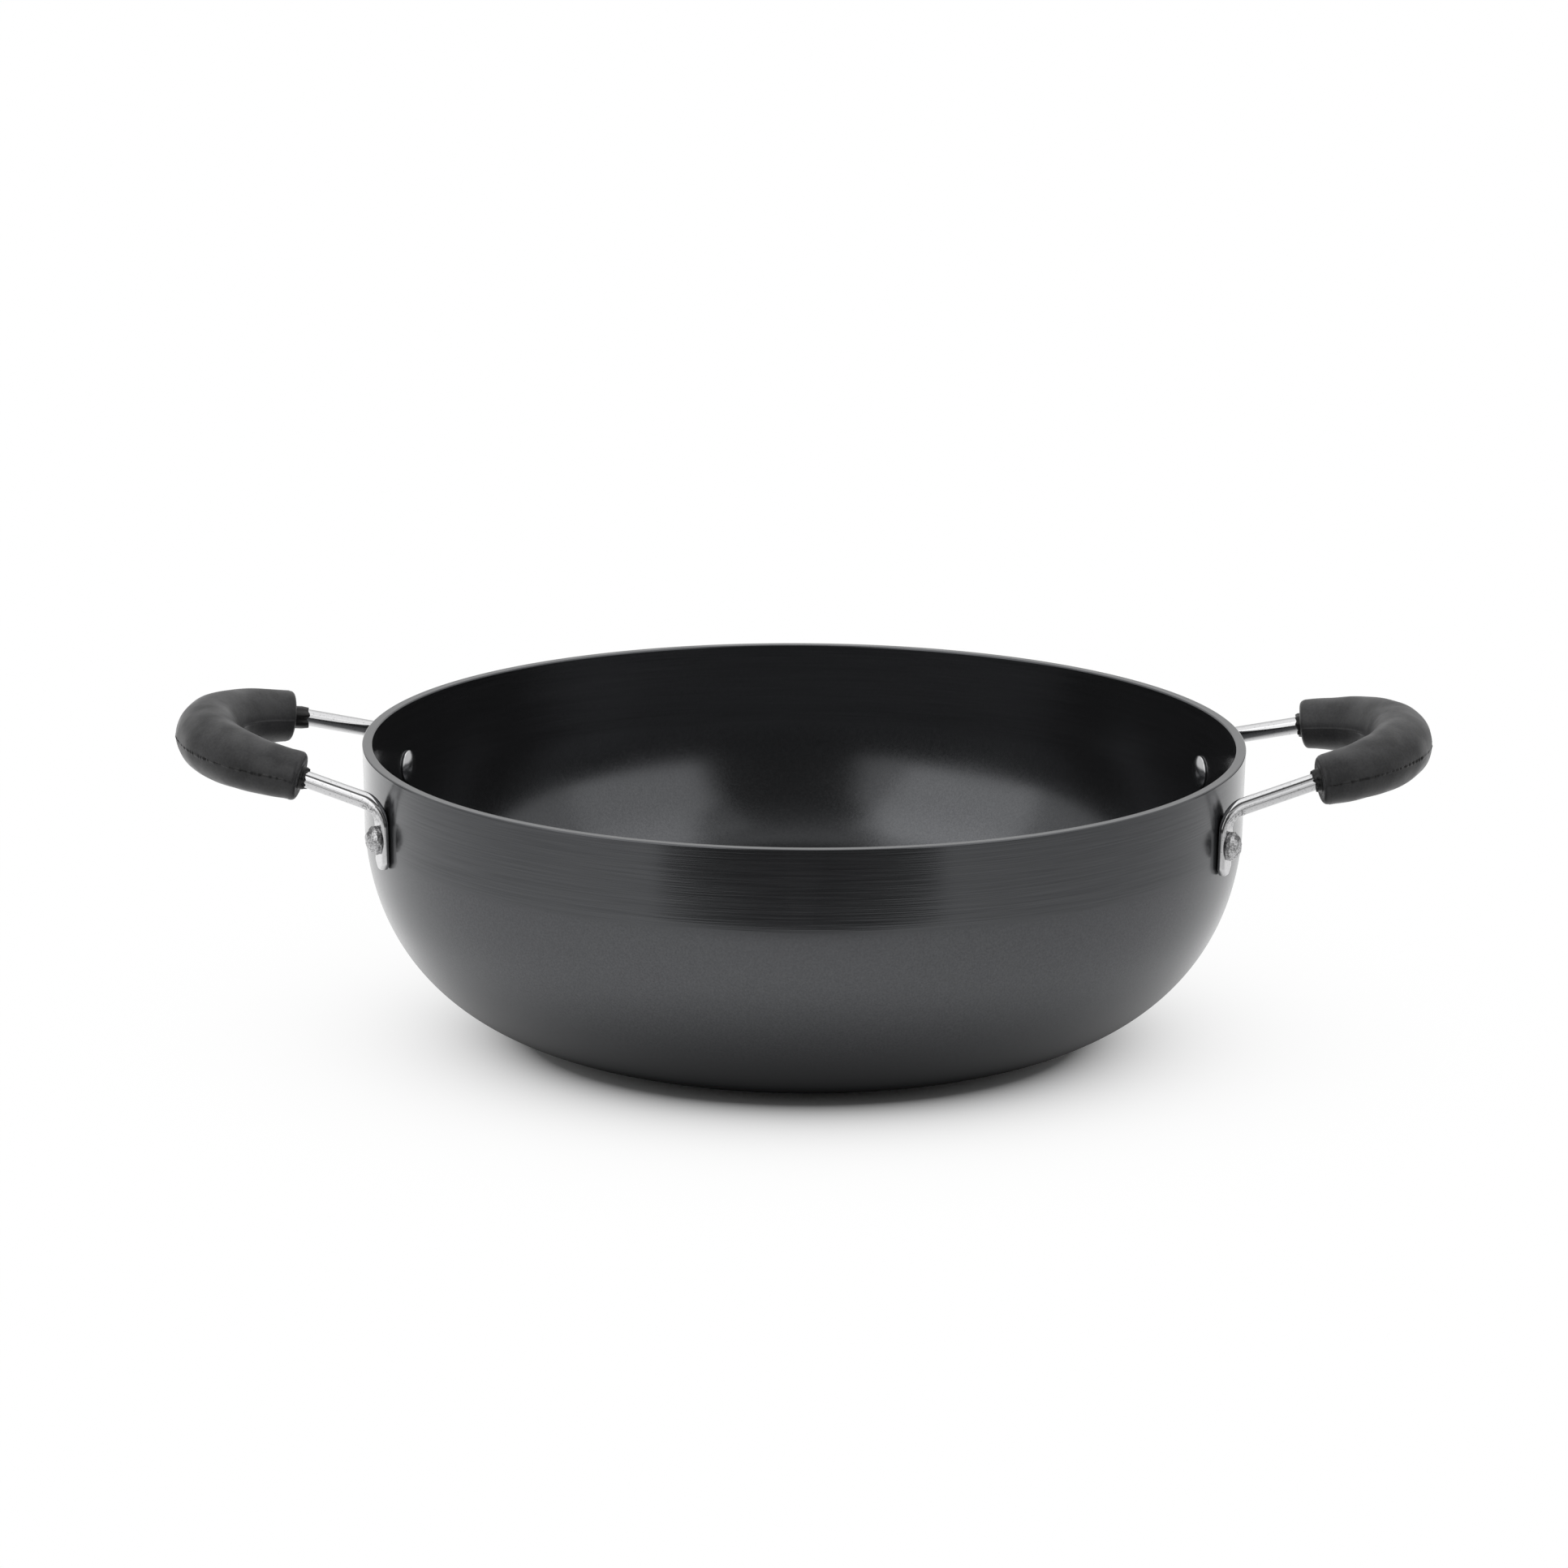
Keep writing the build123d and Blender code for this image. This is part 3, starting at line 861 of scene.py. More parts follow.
@dataclass
class Grip:
    """A moulded grip: a sleeve that swells towards the bow, with a parting line and ragged collars."""

    rod: HandleRod
    finish: bpy.types.Material
    mouth_diameter: float = 14.6
    bow_diameter: float = 18.6
    edge_radius: float = 1.6
    mouth_skew: float = 1.3
    skew_fade: float = 12.0
    collar_wall: float = 0.9
    collar_fray: float = 0.35
    fray_sizes: tuple[float, float] = (1.6, 0.7)
    fine_fray_share: float = 0.6
    collar_swing: float = 0.3
    collar_swing_size: float = 1.2
    collar_margin: float = 0.6
    collar_root: float = 0.15
    collar_side_share: float = 0.6
    collar_chamfer: float = 0.25
    collar_blend: float = 0.5
    collar_darkness: float = 0.85
    skin_fade: float = 0.8
    overrun: float = 0.8
    seam_width: float = 0.34
    seam_height: float = 0.18
    pit_depth: float = 0.5
    pit_spacing: float = 0.8
    pit_sizes: tuple[float, float] = (0.15, 0.45)
    pit_depths: tuple[float, float] = (0.2, 1.0)
    inner_seam_share: float = 0.6
    seam_painted_shade: float = 0.5
    pit_painted_shade: float = 0.9
    wander: float = 0.15
    wander_length: float = 3.1
    unevenness: float = 0.08
    unevenness_size: float = 6.0
    crowding: float = 0.36  # how much closer together the points lie at the parting lines
    stations: int = 420
    edge_rows: int = 9
    face_rows: int = 5
    bore_rows: int = 40
    around: int = 144

    def angles(self) -> np.ndarray:
        """Angles round the sleeve from its outer side, closer together at both parting lines."""
        even = np.linspace(0, 2 * math.pi, self.around, endpoint=False)
        return even - self.crowding * np.sin(2 * even)

    def swell(self, lengths: np.ndarray) -> np.ndarray:
        """The sleeve's radius along the route, from the mouth's to the bow's by the share of X between."""
        place = self.rod.whole.at(lengths)[0][..., 0]
        share = np.clip((place - self.rod.mouth_x) / (self.rod.bow_x - self.rod.mouth_x), 0, 1)
        return (self.mouth_diameter + share * (self.bow_diameter - self.mouth_diameter)) / 2

    def mouth_rows(self, mouth: float, way: int, collar: float, seed: int) -> tuple[np.ndarray, np.ndarray]:
        """The rows of one end, from the skin over the rounded edge and the end face to the collar's bore.

        The collar's reach and thickness are its sizes plus a random field, which leaves it ragged.

        Args:
            mouth: The end face's length along the route.
            way: 1 where the lengths grow out of the sleeve, and -1 where they fall.
            collar: How far the collar reaches out of the face.
            seed: Which ragged edge.

        Returns:
            The length and the radius of each row's points.
        """
        angle = self.angles()
        bore = self.rod.diameter / 2
        ring = np.stack([np.cos(angle), np.sin(angle), 0 * angle], -1) * bore
        coarse, fine = (ripples(ring, size, seed + k) for k, size in enumerate(self.fray_sizes))
        ragged = collar + self.collar_fray * (coarse + self.fine_fray_share * fine)
        swing = self.collar_swing * ripples(ring, self.collar_swing_size, seed + 2)
        thick = bore + self.collar_wall * (1 + swing)
        quarter = np.linspace(0, math.pi / 2, self.edge_rows)
        edge_out = self.edge_radius * (np.sin(quarter) - 1)
        edge_in = self.swell(np.array([mouth]))[0] - self.edge_radius * (1 - np.cos(quarter))
        face = np.linspace(edge_in[-1], bore + self.collar_wall + self.collar_margin, self.face_rows)[1:]
        skin_out = np.concatenate([edge_out, 0 * face])[:, None] + 0 * angle
        skin_in = np.concatenate([edge_in, face])[:, None] + 0 * angle
        root = self.collar_root + 0 * angle
        collar_out = np.stack([root, self.collar_side_share * ragged, ragged, ragged])
        collar_in = np.stack([thick, thick, thick - self.collar_chamfer, bore + 0 * angle])
        lengths = mouth + way * np.concatenate([skin_out, collar_out])
        radii = np.concatenate([skin_in, collar_in])
        return (lengths, radii) if way > 0 else (lengths[::-1], radii[::-1])

    def rows(
        self, start: float, end: float, back_collar: float, front_collar: float, seed: int
    ) -> tuple[np.ndarray, np.ndarray]:
        """The closed surface's rows: out of the back mouth, over the skin, into the front one, back inside.

        Args:
            start: The back mouth's length along the whole route.
            end: The front mouth's.
            back_collar: How far the collar reaches out of the back mouth.
            front_collar: How far out of the front one.
            seed: Which ragged edges.

        Returns:
            The length and the radius of each row's points. Near each mouth the lengths grow by the skew
            times the cosine of the angle, because the mouths are cut less aslant than the rod runs.
        """
        back, back_in = self.mouth_rows(start, -1, back_collar, seed)
        front, front_in = self.mouth_rows(end, 1, front_collar, seed + 3)
        skin = np.linspace(start + self.edge_radius, end - self.edge_radius, self.stations)[1:-1]
        skin_in = np.repeat(self.swell(skin)[:, None], self.around, 1)
        bore = front[-1:] + np.linspace(0, 1, self.bore_rows)[1:-1, None] * (back[:1] - front[-1:])
        lengths = np.concatenate([back, np.repeat(skin[:, None], self.around, 1), front, bore])
        radii = np.concatenate([back_in, skin_in, front_in, 0 * bore + self.rod.diameter / 2])
        near_back = smooth_share(1 - (lengths - start) / self.skew_fade)
        near_front = smooth_share(1 - (end - lengths) / self.skew_fade)
        slant = self.mouth_skew * np.cos(self.angles()) * radii / (self.mouth_diameter / 2)
        return lengths + slant * (near_front - near_back), radii

    def parting(self, lengths: np.ndarray, radii: np.ndarray, seed: int) -> tuple[np.ndarray, np.ndarray]:
        """The parting line: a low ridge on the sleeve's outer and inner side, with pits on the outer one.

        The ridge is a bell curve of the distance from the line. Each pit is one of the distance from its
        own point on the line, and a slow sine lets the line wander.

        Args:
            lengths: Lengths along the route.
            radii: Radii there.
            seed: Which pits.

        Returns:
            What the radius gains, and how dark the line is from painted shade along it and in its pits, at
            each point.
        """
        draw = np.random.default_rng(seed)
        first, last = lengths.min(), lengths.max()
        along = lengths.mean(1)
        spots = draw.uniform(first, last, int((last - first) / self.pit_spacing))
        sizes = draw.uniform(*self.pit_sizes, len(spots))
        depths = draw.uniform(*self.pit_depths, len(spots))
        pits = depths * np.exp(-(((along[:, None] - spots) / sizes) ** 2))
        holes = np.clip(pits.sum(-1), 0, 1)[:, None]
        wander = self.wander * np.sin(along / self.wander_length)[:, None]
        sweep = np.abs(np.angle(np.exp(1j * self.angles())))
        outer = np.exp(-(((sweep * radii + wander) / self.seam_width) ** 2))
        inner = np.exp(-((((math.pi - sweep) * radii) / self.seam_width) ** 2))
        skin = smooth_share((radii - self.mouth_diameter / 2 + self.skin_fade) / self.skin_fade)
        relief = self.seam_height * (outer + self.inner_seam_share * inner) - self.pit_depth * outer * holes
        # painted shade: the parting line and its pits are darkened in colour, standing in for the shade in
        # the pits
        dark = np.clip(self.seam_painted_shade * outer + self.pit_painted_shade * outer * holes, 0, 1)
        return relief * skin, dark * skin

    def build(
        self, side: Side, slide: float, back_collar: float, front_collar: float, seed: int
    ) -> bpy.types.Object:
        """Carries rings along the rod's route.

        A point is the route's point plus the radius times the cosine of its angle along the level
        direction out of the loop, and times its sine upwards.

        Args:
            side: Which handle.
            slide: How far the sleeve sits along the rod, towards the front of the right handle.
            back_collar: The collar's reach at the right handle's back.
            front_collar: The same in front.
            seed: Which ragged edges, pits and unevenness.

        Returns:
            The grip.
        """
        route = self.rod.whole
        mouth = self.rod.mouth - self.overrun
        start, end = mouth + slide, route.lengths[-1] - mouth + slide
        lengths, radii = self.rows(start, end, back_collar, front_collar, seed)
        relief, dark = self.parting(lengths, radii, seed + 10)
        place, heading = route.at(lengths)
        outward = unit(np.cross(UP, heading))
        upward = np.cross(heading, outward)
        angle = self.angles()[:, None]
        arm = np.cos(angle) * outward + np.sin(angle) * upward
        on_collar = smooth_share((self.rod.diameter / 2 + 2 * self.collar_wall - radii) / self.collar_blend)
        lumps = ripples(place + radii[..., None] * arm, self.unevenness_size, seed + 20)
        uneven = self.unevenness * lumps * (1 - on_collar)
        points = place + (radii + relief + uneven)[..., None] * arm
        name = side.name.lower()
        # the parting line's painted shade, and the darker collar
        marks = {Detail.SEAM: np.maximum(dark, self.collar_darkness * on_collar)}
        sleeve = grid_piece(f"moulded_grip_{name}", turned(points, side.value), self.finish, marks, True)
        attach(sleeve, BODY)
        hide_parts(f"grip_{name}")
        return sleeve


@dataclass
class Rivet:
    """One rivet: a hammered button outside, a shank through tab and wall, and a smooth dome inside."""

    seat: Seat
    finish: bpy.types.Material
    tab_thickness: float
    shank_diameter: float = 4.8
    outer_diameter: float = 8.4
    outer_height: float = 3.8
    outer_side_share: float = 0.38
    inner_diameter: float = 9.6
    inner_height: float = 1.9
    inner_side_share: float = 0.2
    corner_round: float = 0.35
    dent_depth: float = 0.08
    dent_size: float = 0.95
    small_dent_share: float = 0.3
    small_dent_ratio: float = 3.0  # how many times smaller they are than the others
    dent_bias: float = 0.5  # the hammer strikes in more than it raises
    dent_run_in: float = 0.8
    outer_points: int = 26
    side_points: int = 8
    corner_points: int = 6
    inner_points: int = 18
    around: int = 112

    def dome(self, diameter: float, top: float, shoulder: float, count: int) -> np.ndarray:
        """Half of a dome's section: the arc that is level at its top and ends at its shoulder."""
        half, rise = diameter / 2, top - shoulder
        radius = (half**2 + rise**2) / (2 * abs(rise))
        sweep = np.linspace(0, math.asin(min(1.0, half / radius)), count)
        way = math.copysign(1, rise)
        return np.stack([radius * np.sin(sweep), top - way * radius * (1 - np.cos(sweep))], -1)

    def profile(self) -> tuple[np.ndarray, np.ndarray]:
        """The rivet's half section, from the outer top to the inner top.

        Returns:
            Radius and height above the wall's outer face, and how much each point was hammered.
        """
        wall = self.seat.bowl.wall
        inside_radius = float(np.hypot(*self.seat.origin[:2])) - wall
        hollow = inside_radius - math.sqrt(inside_radius**2 - (self.inner_diameter / 2) ** 2)
        under, top = self.tab_thickness, self.tab_thickness + self.outer_height
        seat, inner_top = -wall - hollow, -wall - hollow - self.inner_height
        outer_shoulder = under + self.outer_height * self.outer_side_share
        outer = self.dome(self.outer_diameter, top, outer_shoulder, self.outer_points)
        edge, shank = self.outer_diameter / 2, self.shank_diameter / 2
        corner = self.corner_round
        foot = arc_points((edge - corner, under + corner), corner, 0, -math.pi / 2, self.corner_points)
        side = np.linspace(outer[-1], foot[0], self.side_points)[1:-1]
        inner_shoulder = seat - self.inner_height * self.inner_side_share
        inner = self.dome(self.inner_diameter, inner_top, inner_shoulder, self.inner_points)
        middle = np.array([[shank, under], [shank, seat], [self.inner_diameter / 2, seat]])
        section = np.concatenate([outer, side, foot, middle, inner[::-1]])
        struck = np.zeros(len(section))
        struck[: len(outer) + len(side) + len(foot)] = 1
        return section, struck

    def build(self, side: Side, depth: Depth, seed: int) -> bpy.types.Object:
        """Turns the section about the rivet's axis and dents the outer head.

        A point is the seat plus the height along the axis and the radius along the turned direction. A dent
        moves it along the line from the head's middle.

        Args:
            side: Which handle.
            depth: Which end of it, as the viewer sees it.
            seed: Which dents.

        Returns:
            The rivet.
        """
        section, struck = self.profile()
        angle = np.linspace(0, 2 * math.pi, self.around, endpoint=False)[None, :, None]
        radius, height = section[:, None, :1], section[:, None, 1:]
        arm = np.cos(angle) * self.seat.level + np.sin(angle) * self.seat.upward
        points = self.seat.origin + radius * arm + height * self.seat.outward
        heart = self.seat.origin + self.seat.outward * self.tab_thickness
        small_dents = ripples(points, self.dent_size / self.small_dent_ratio, seed + 1)
        dents = ripples(points, self.dent_size, seed) + self.small_dent_share * small_dents
        held = np.clip((section[:, 1] - self.tab_thickness) / self.dent_run_in, 0, 1) * struck
        dips = self.dent_depth * (dents - self.dent_bias) * held[:, None]
        points = points + dips[..., None] * unit(points - heart)
        stands_at_back = (depth is Depth.BACK) == (side is Side.RIGHT)
        mirror = [1, 1, 1] if stands_at_back else [1, -1, 1]
        name = f"{side.name.lower()}_{depth.name.lower()}"
        worn = np.broadcast_to(struck[:, None], points.shape[:2])
        rivet = grid_piece(
            f"set_rivet_{name}", turned(points * mirror, side.value), self.finish, {Detail.WORKED: worn}
        )
        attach(rivet, BODY)
        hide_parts(f"rivet_{name}")
        return rivet


@dataclass
class Handles:
    """Both handles. Their grips sit a little differently on their rods, as the real ones do."""

    bowl: Bowl
    steel: bpy.types.Material
    rubber: bpy.types.Material
    aluminium: bpy.types.Material
    right_slide: float = -0.85
    left_slide: float = -3.3
    long_collar: float = 4.6
    collar: float = 1.6
    rod_seed: int = 100
    rivet_seed: int = 200
    grip_seeds: tuple[int, int] = (300, 400)

    def build(self) -> list[bpy.types.Object]:
        """Builds two rods, two grips and four rivets."""
        seat = Seat(self.bowl)
        rod = HandleRod(seat, self.steel)
        grip = Grip(rod, self.rubber)
        rivet = Rivet(seat, self.aluminium, rod.tab_thickness)
        pieces = []
        for number, side in enumerate(Side):
            pieces.append(rod.build(side, self.rod_seed + number))
            first_seed = self.rivet_seed + 10 * number
            pieces += [rivet.build(side, depth, first_seed + k) for k, depth in enumerate(Depth)]
        # The left handle is the right one turned half round, so its back is that one's front
        right, left = self.grip_seeds
        pieces.append(grip.build(Side.RIGHT, self.right_slide, self.collar, self.collar, right))
        pieces.append(grip.build(Side.LEFT, self.left_slide, self.collar, self.long_collar, left))
        return pieces


@dataclass
class PhotoCamera:
    """The camera, fitted to the photograph's outline. Pixels are those of its 1932 by 1932 frame."""

    image_px: float = 1932.0
    focal_px: float = 12561.5
    sensor_mm: float = 36.0
    distance_mm: float = 3000.0
    elevation_deg: float = 13.53
    aim_height_mm: float = 88.17
    pitch_deg: float = 13.77
    yaw_deg: float = -0.115
    roll_deg: float = -0.382

    def build(self) -> bpy.types.Object:
        """Places the camera: it looks along the pitched and yawed heading, turned by the roll about it."""
        angles = (self.elevation_deg, self.pitch_deg, self.yaw_deg, self.roll_deg)
        elevation, pitch, yaw, roll = radians(angles)
        level = math.cos(pitch)
        heading = Vector((math.sin(yaw) * level, math.cos(yaw) * level, -math.sin(pitch)))
        across = Vector((math.cos(yaw), -math.sin(yaw), 0))
        down = heading.cross(across)
        right = across * math.cos(roll) + down * math.sin(roll)
        below = down * math.cos(roll) - across * math.sin(roll)
        lens = bpy.data.cameras.new("photo_camera")
        lens.sensor_fit = "HORIZONTAL"
        lens.sensor_width = self.sensor_mm
        lens.lens = self.focal_px / self.image_px * self.sensor_mm
        lens.clip_end = 100.0
        camera = bpy.data.objects.new("photo_camera", lens)
        back, up = self.distance_mm * math.cos(elevation), self.distance_mm * math.sin(elevation)
        place = Vector((0, -back, self.aim_height_mm + up))
        turn = Matrix((right, -below, -heading)).transposed()
        camera.matrix_world = Matrix.Translation(place * METRES) @ turn.to_4x4()
        bpy.context.scene.collection.objects.link(camera)
        bpy.context.scene.camera = camera
        return camera


def off_front(
    add: Callable[..., bpy.types.Node], parts: bpy.types.Node, middle_deg: float
) -> bpy.types.Node:
    """The angle between a place or direction, seen from above, and the viewer's side.

    Args:
        add: add_node for the tree.
        parts: The Separate XYZ node of the place or direction.
        middle_deg: The azimuth that counts as the front, to the right of the viewer's own.

    Returns:
        The node whose result is the angle's size in radians.
    """
    ahead = add("ShaderNodeMath", {0: parts.outputs["Y"], 1: -1.0}, operation="MULTIPLY")
    azimuth = add("ShaderNodeMath", {0: parts.outputs["X"], 1: ahead}, operation="ARCTAN2")
    offset = add("ShaderNodeMath", {0: azimuth, 1: math.radians(middle_deg)}, operation="SUBTRACT")
    return add("ShaderNodeMath", {0: offset}, operation="ABSOLUTE")


@dataclass
class Studio:
    """A sheet of pale paper in a white room with two soft boxes, and darkness towards the viewer.

    Mirrors see that darkness as a gap in front, in the room and on the floor beyond the paper's near edge,
    and as a gap overhead. So the photograph had it: the one in front is the dark middle of the bowl's band
    and of its inside, and the one overhead is the dark line along the rods.

    Reaches and places on the floor are in metres, and heights in the room are the sines of elevations. A
    gap's three angles are its middle's, and how far from it the dark ends and the light is full.
    """

    floor_size: float = 14.0
    floor_colour: str = "f3f3f3"
    floor_bounce: float = 0.2  # the paper's level as a light on the pan
    shadow_edge: float = 0.082
    shadow_fade: float = 0.024
    # What mirrors see on the floor
    floor_dark_level: float = 0.05
    floor_gap_deg: tuple[float, float, float] = (-0.5, 28.5, 33.0)
    paper_edge: tuple[float, float] = (0.28, 0.335)
    paper_edge_curve: float = 0.25  # the edge draws back by this times the angle's square
    far_start: tuple[float, float] = (0.25, 0.75)
    far_end: tuple[float, float] = (0.55, 1.0)
    backdrop: tuple[float, float] = (-0.2, 0.3)
    backdrop_level: float = 1.3
    right_start: tuple[float, float] = (-0.1, 0.35)
    right_level: float = 0.78
    # painted shadow: the pan's shadow round its foot, painted on the floor as mirrors see it
    foot_shade: tuple[float, float] = (0.076, 0.18)
    foot_squeeze: float = 1.15
    # What mirrors see in the room
    room_dark_level: float = 0.08
    room_gap_deg: tuple[float, float, float] = (6.0, 17.5, 25.5)
    gap_spread: tuple[float, float] = (0.5, 0.8)
    gap_spread_deg: float = 14.0
    gap_top: tuple[float, float] = (0.4, 1.0)
    gap_top_power: float = 3.0
    overhead_gap: float = 0.925
    overhead_gap_reach: tuple[float, float] = (0.055, 0.09)
    overhead_gap_deg: tuple[float, float] = (45.0, 70.0)
    ceiling: tuple[float, float] = (0.5, 0.9)
    ceiling_level: float = 1.8
    # The light on everything else
    sky_low: float = 0.4
    sky_high: float = 1.6
    soft_box_size: float = 1.6
    soft_box_distance: float = 2.1
    soft_box_azimuth_deg: float = 50.0
    soft_box_elevation_deg: float = 34.0
    soft_box_power: dict[int, float] = field(default_factory=lambda: {-1: 5.6, 1: 2.8})

    def build(self) -> None:
        """Builds the floor, the soft boxes and the world."""
        self.build_floor()
        for side in self.soft_box_power:
            self.build_soft_box(side)
        self.build_world()

    def build_floor(self) -> None:
        """Lays the paper under the pan."""
        half = self.floor_size / 2
        corners = [(-half, -half, 0), (half, -half, 0), (half, half, 0), (-half, half, 0)]
        mesh = bpy.data.meshes.new("floor")
        mesh.from_pydata(corners, [], [tuple(range(len(corners)))])
        floor = bpy.data.objects.new("floor", mesh)
        bpy.context.scene.collection.objects.link(floor)
        mesh.materials.append(self.paper())

    def paper(self) -> bpy.types.Material:
        """Builds the paper's material: matt, and turning to plain white outside the shadow.

        The matt share is the exponential of the shadow's edge less the reach, over the shadow's fade.
        """
        material, add = new_material("matt_paper")
        path = add("ShaderNodeLightPath")
        place = add("ShaderNodeTexCoord").outputs["Object"]
        reach = add("ShaderNodeVectorMath", {0: place}, operation="LENGTH").outputs["Value"]
        mirrored = self.mirrored_floor(add, place, reach)
        shown = add("ShaderNodeMix", {0: path.outputs["Is Glossy Ray"], 2: 1.0, 3: mirrored})
        level = add("ShaderNodeMix", {0: path.outputs["Is Diffuse Ray"], 2: shown, 3: self.floor_bounce})
        colour = add("ShaderNodeMix", shades(level, "000000", self.floor_colour), **COLOUR)
        matt = add("ShaderNodeBsdfDiffuse", {"Color": colour})
        white = add("ShaderNodeEmission", {"Strength": level})
        past = add("ShaderNodeMath", {0: self.shadow_edge, 1: reach}, operation="SUBTRACT")
        inside = add("ShaderNodeMath", {0: past, 1: 0.0}, operation="MINIMUM")
        fades = add("ShaderNodeMath", {0: inside, 1: self.shadow_fade}, operation="DIVIDE")
        shadow = add("ShaderNodeMath", {0: fades}, operation="EXPONENT")
        kept = add("ShaderNodeMath", {0: shadow, 1: path.outputs["Is Diffuse Ray"]}, operation="MAXIMUM")
        surface = add("ShaderNodeMixShader", {0: kept, 1: white, 2: matt})
        add("ShaderNodeOutputMaterial", {"Surface": surface})
        return material

    def mirrored_floor(
        self, add: Callable[..., bpy.types.Node], place: bpy.types.NodeSocket, reach: bpy.types.NodeSocket
    ) -> bpy.types.Node:
        """How bright the floor looks in mirrors.

        It is dark in the gap beyond the paper's edge and in a wide ring farther out, and darker at the
        pan's foot, where the pan's shadow is painted. It is brighter behind the pan and dimmer to its
        right, as painted light and shade.

        Args:
            add: add_node for the floor's tree.
            place: The place on the floor.
            reach: Its distance from the middle of the pan.

        Returns:
            The node whose result is the level.
        """
        parts = add("ShaderNodeSeparateXYZ", {"Vector": place})
        middle, *edges = self.floor_gap_deg
        angle = off_front(add, parts, middle)
        beside = add("ShaderNodeMapRange", span(angle, radians(edges)), **SMOOTH)
        square = add("ShaderNodeMath", {0: angle, 1: angle}, operation="MULTIPLY")
        draw_back = {0: square, 1: -self.paper_edge_curve, 2: reach}
        drawn_back = add("ShaderNodeMath", draw_back, operation="MULTIPLY_ADD")
        on_paper = add("ShaderNodeMapRange", span(drawn_back, self.paper_edge[::-1]), **SMOOTH)
        near = add("ShaderNodeMath", {0: beside, 1: on_paper}, operation="MAXIMUM")
        before = add("ShaderNodeMapRange", span(reach, self.far_start[::-1]), **SMOOTH)
        beyond = add("ShaderNodeMapRange", span(reach, self.far_end), **SMOOTH)
        behind = add("ShaderNodeMapRange", span(parts.outputs["Y"], self.backdrop), **SMOOTH)
        off_ring = add("ShaderNodeMath", {0: before, 1: beyond}, operation="MAXIMUM")
        in_light = add("ShaderNodeMath", {0: off_ring, 1: behind}, operation="MAXIMUM")
        lit = add("ShaderNodeMath", {0: near, 1: in_light}, operation="MULTIPLY")
        squeeze = {0: place, 1: (self.foot_squeeze, 1.0, 1.0)}
        squeezed = add("ShaderNodeVectorMath", squeeze, operation="MULTIPLY")
        oval = add("ShaderNodeVectorMath", {0: squeezed}, operation="LENGTH").outputs["Value"]
        # painted shadow of the pan round its foot
        clear_of_foot = add("ShaderNodeMapRange", span(oval, self.foot_shade), **SMOOTH)
        dimming = span(parts.outputs["X"], self.right_start) | {"To Min": 1.0, "To Max": self.right_level}
        right = add("ShaderNodeMapRange", dimming)
        open_floor = add("ShaderNodeMath", {0: lit, 1: clear_of_foot}, operation="MULTIPLY")
        seen = add("ShaderNodeMath", {0: open_floor, 1: right}, operation="MULTIPLY")
        tone = add("ShaderNodeMapRange", {"Value": behind, "To Min": 1.0, "To Max": self.backdrop_level})
        return add("ShaderNodeMapRange", {"Value": seen, "To Min": self.floor_dark_level, "To Max": tone})

    def build_soft_box(self, side: int) -> None:
        """A square soft box aimed at the pan, to the left of the camera for -1 and to its right for 1."""
        azimuth, elevation = radians((self.soft_box_azimuth_deg, self.soft_box_elevation_deg))
        across, ahead = math.sin(azimuth) * math.cos(elevation), math.cos(azimuth) * math.cos(elevation)
        heading = Vector((side * across, -ahead, math.sin(elevation)))
        lamp = bpy.data.lights.new("soft_box", "AREA")
        lamp.shape = "SQUARE"
        lamp.size = self.soft_box_size
        lamp.energy = self.soft_box_power[side]
        box = bpy.data.objects.new("soft_box", lamp)
        box.location = heading * self.soft_box_distance
        box.rotation_euler = heading.to_track_quat("Z", "Y").to_euler()
        bpy.context.scene.collection.objects.link(box)

    def room_gaps(self, add: Callable[..., bpy.types.Node], parts: bpy.types.Node) -> bpy.types.Node:
        """How much of the room's light is left in the gap in front and in the one overhead.

        The gap in front widens with height, and then fades out upwards.

        Args:
            add: add_node for the world's tree.
            parts: The Separate XYZ node of the direction.

        Returns:
            The node whose result is the share.
        """
        height = parts.outputs["Z"]
        middle, *edges = self.room_gap_deg
        angle = off_front(add, parts, middle)
        widening = span(height, self.gap_spread) | {"To Max": math.radians(self.gap_spread_deg)}
        spread = add("ShaderNodeMapRange", widening)
        drawn_in = add("ShaderNodeMath", {0: angle, 1: spread}, operation="SUBTRACT")
        beside = add("ShaderNodeMapRange", span(drawn_in, radians(edges)), **SMOOTH)
        climb = add("ShaderNodeMapRange", span(height, self.gap_top))
        above = add("ShaderNodeMath", {0: climb, 1: self.gap_top_power}, operation="POWER")
        aside = add("ShaderNodeMath", {0: beside, 1: above}, operation="MAXIMUM")
        from_gap = add("ShaderNodeMath", {0: height, 1: self.overhead_gap}, operation="SUBTRACT")
        off_gap = add("ShaderNodeMath", {0: from_gap}, operation="ABSOLUTE")
        raised = add("ShaderNodeMapRange", span(off_gap, self.overhead_gap_reach), **SMOOTH)
        astern = add("ShaderNodeMapRange", span(angle, radians(self.overhead_gap_deg)), **SMOOTH)
        clear = add("ShaderNodeMath", {0: raised, 1: astern}, operation="MAXIMUM")
        lit = add("ShaderNodeMath", {0: aside, 1: clear}, operation="MULTIPLY")
        return add("ShaderNodeMapRange", {"Value": lit, "To Min": self.room_dark_level})

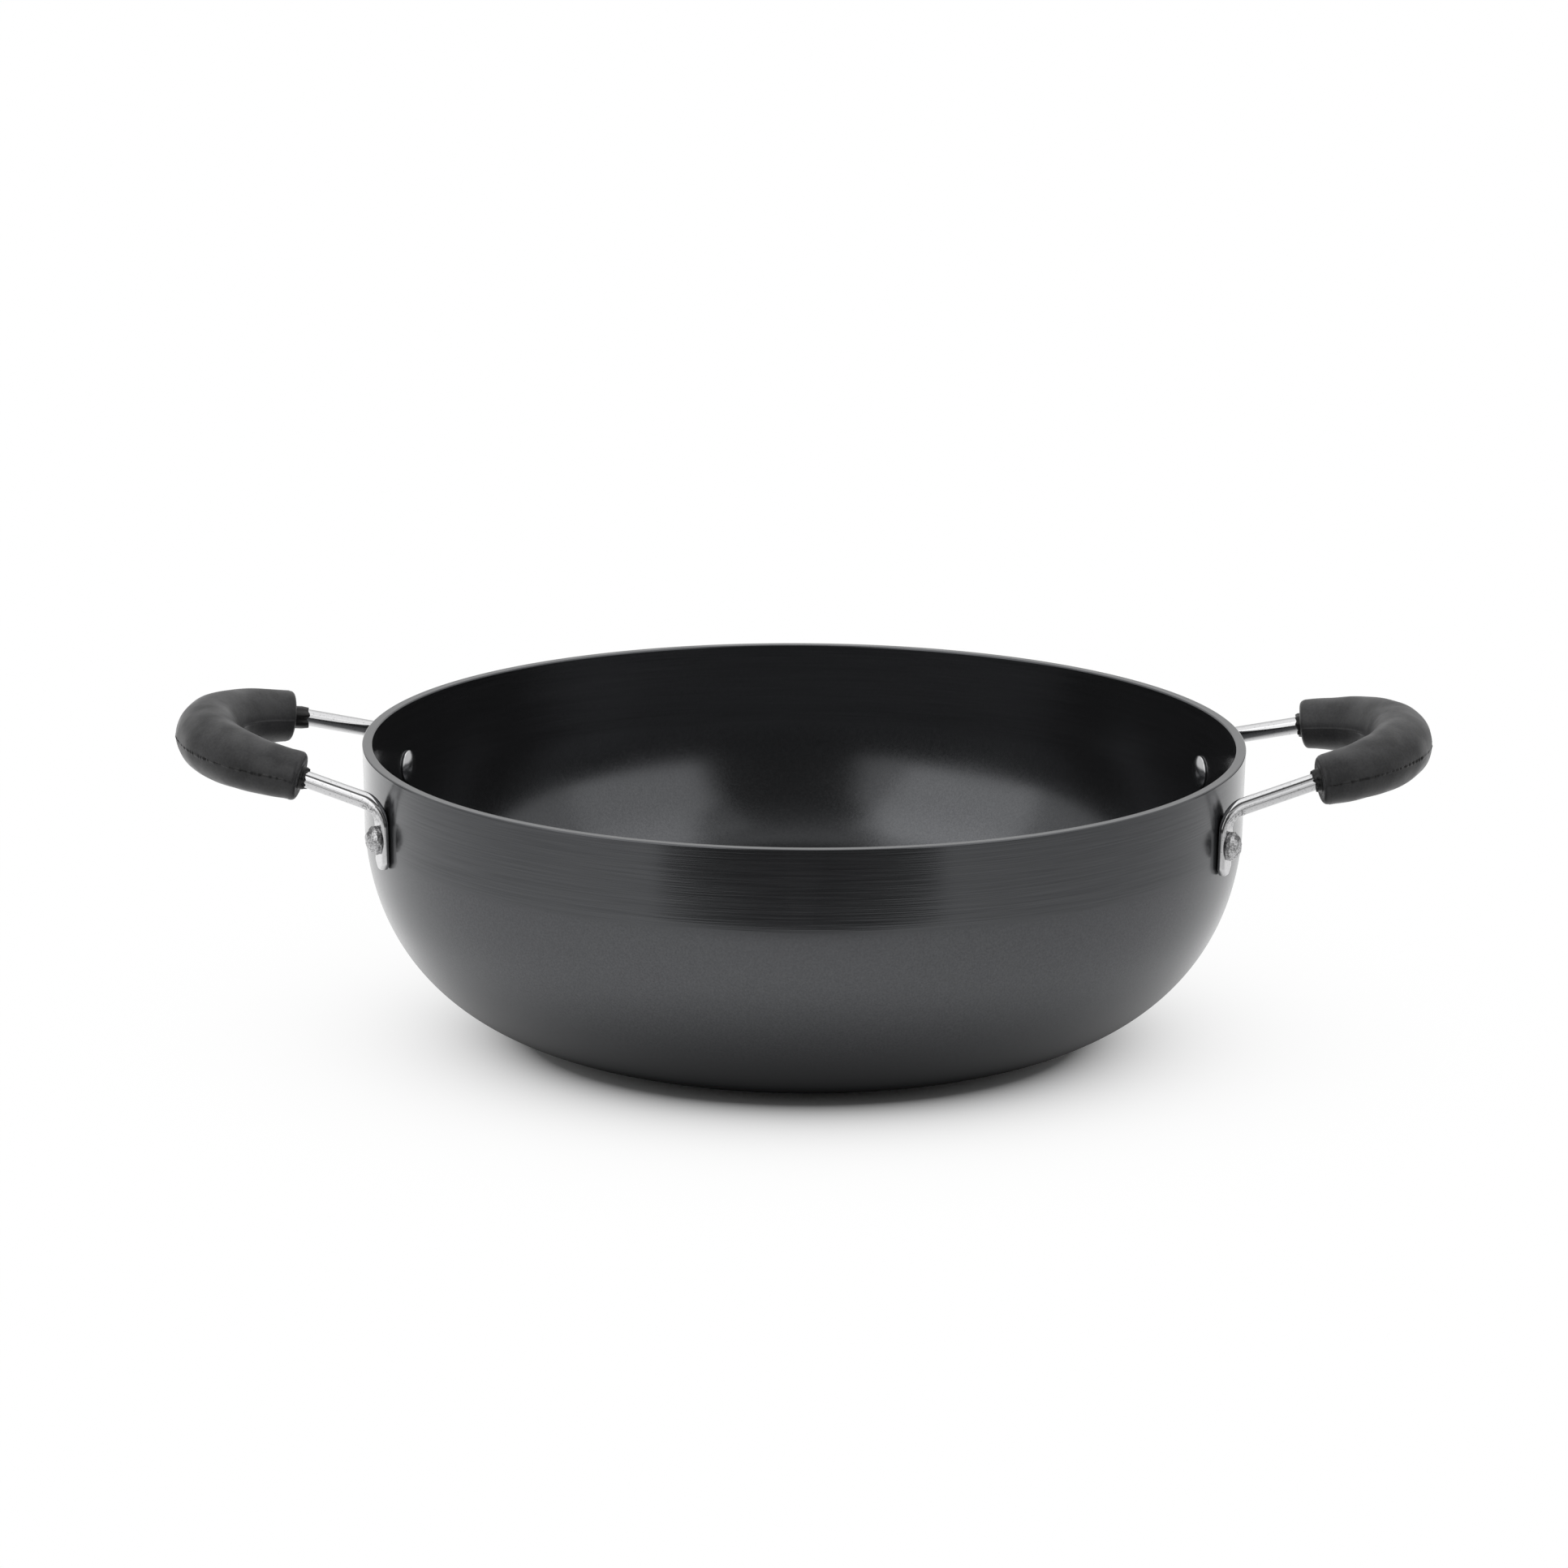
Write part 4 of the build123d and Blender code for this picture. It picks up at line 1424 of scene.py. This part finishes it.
    def build_world(self) -> None:
        """Builds the room: plain white for the camera, and with the gaps for everything else.

        Mirrors see its walls and ceiling, and the rest is lit by a sky that brightens upwards.
        """
        world = bpy.data.worlds.new("studio")
        world.use_nodes = True
        world.node_tree.nodes.clear()
        bpy.context.scene.world = world
        add = partial(add_node, world.node_tree)
        path = add("ShaderNodeLightPath")
        direction = add("ShaderNodeTexCoord").outputs["Generated"]
        parts = add("ShaderNodeSeparateXYZ", {"Vector": direction})
        height = parts.outputs["Z"]
        gaps = self.room_gaps(add, parts)
        sky = add("ShaderNodeMapRange", {"Value": height, "To Min": self.sky_low, "To Max": self.sky_high})
        rising = span(height, self.ceiling) | {"To Min": 1.0, "To Max": self.ceiling_level}
        walls = add("ShaderNodeMapRange", rising)
        mirrors = {0: path.outputs["Is Glossy Ray"], 1: path.outputs["Is Transmission Ray"]}
        mirrored = add("ShaderNodeMath", mirrors, operation="MAXIMUM")
        tone = add("ShaderNodeMix", {0: mirrored, 2: sky, 3: walls})
        room = add("ShaderNodeMath", {0: tone, 1: gaps}, operation="MULTIPLY")
        level = add("ShaderNodeMix", {0: path.outputs["Is Camera Ray"], 2: room, 3: 1.0})
        add("ShaderNodeOutputWorld", {"Surface": add("ShaderNodeBackground", {"Strength": level})})


def report_pieces(title: str, make: Callable[[], list[bpy.types.Object]]) -> None:
    """Builds one sub-assembly and logs each of its pieces with its number of faces.

    Args:
        title: The sub-assembly's name.
        make: What builds it.
    """
    for piece in make():
        log.info("%s: %s with %d faces", title, piece.name, len(piece.data.polygons))


def main() -> None:
    logging.basicConfig(level=logging.INFO, format="%(name)s: %(message)s")
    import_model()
    bpy.context.scene.view_settings.view_transform = "Standard"
    anodised = HardAnodised()
    bowl_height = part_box("bowl")[1].z / METRES
    bowl = Bowl(anodised.material(bowl_height))
    finishes = [look.material() for look in (PlatedSteel(), MouldedRubber(), RivetAluminium())]
    handles = Handles(bowl, *finishes)
    report_pieces("bowl", bowl.build)
    report_pieces("handles", handles.build)
    PhotoCamera().build()
    Studio().build()


if __name__ == "__main__":
    main()
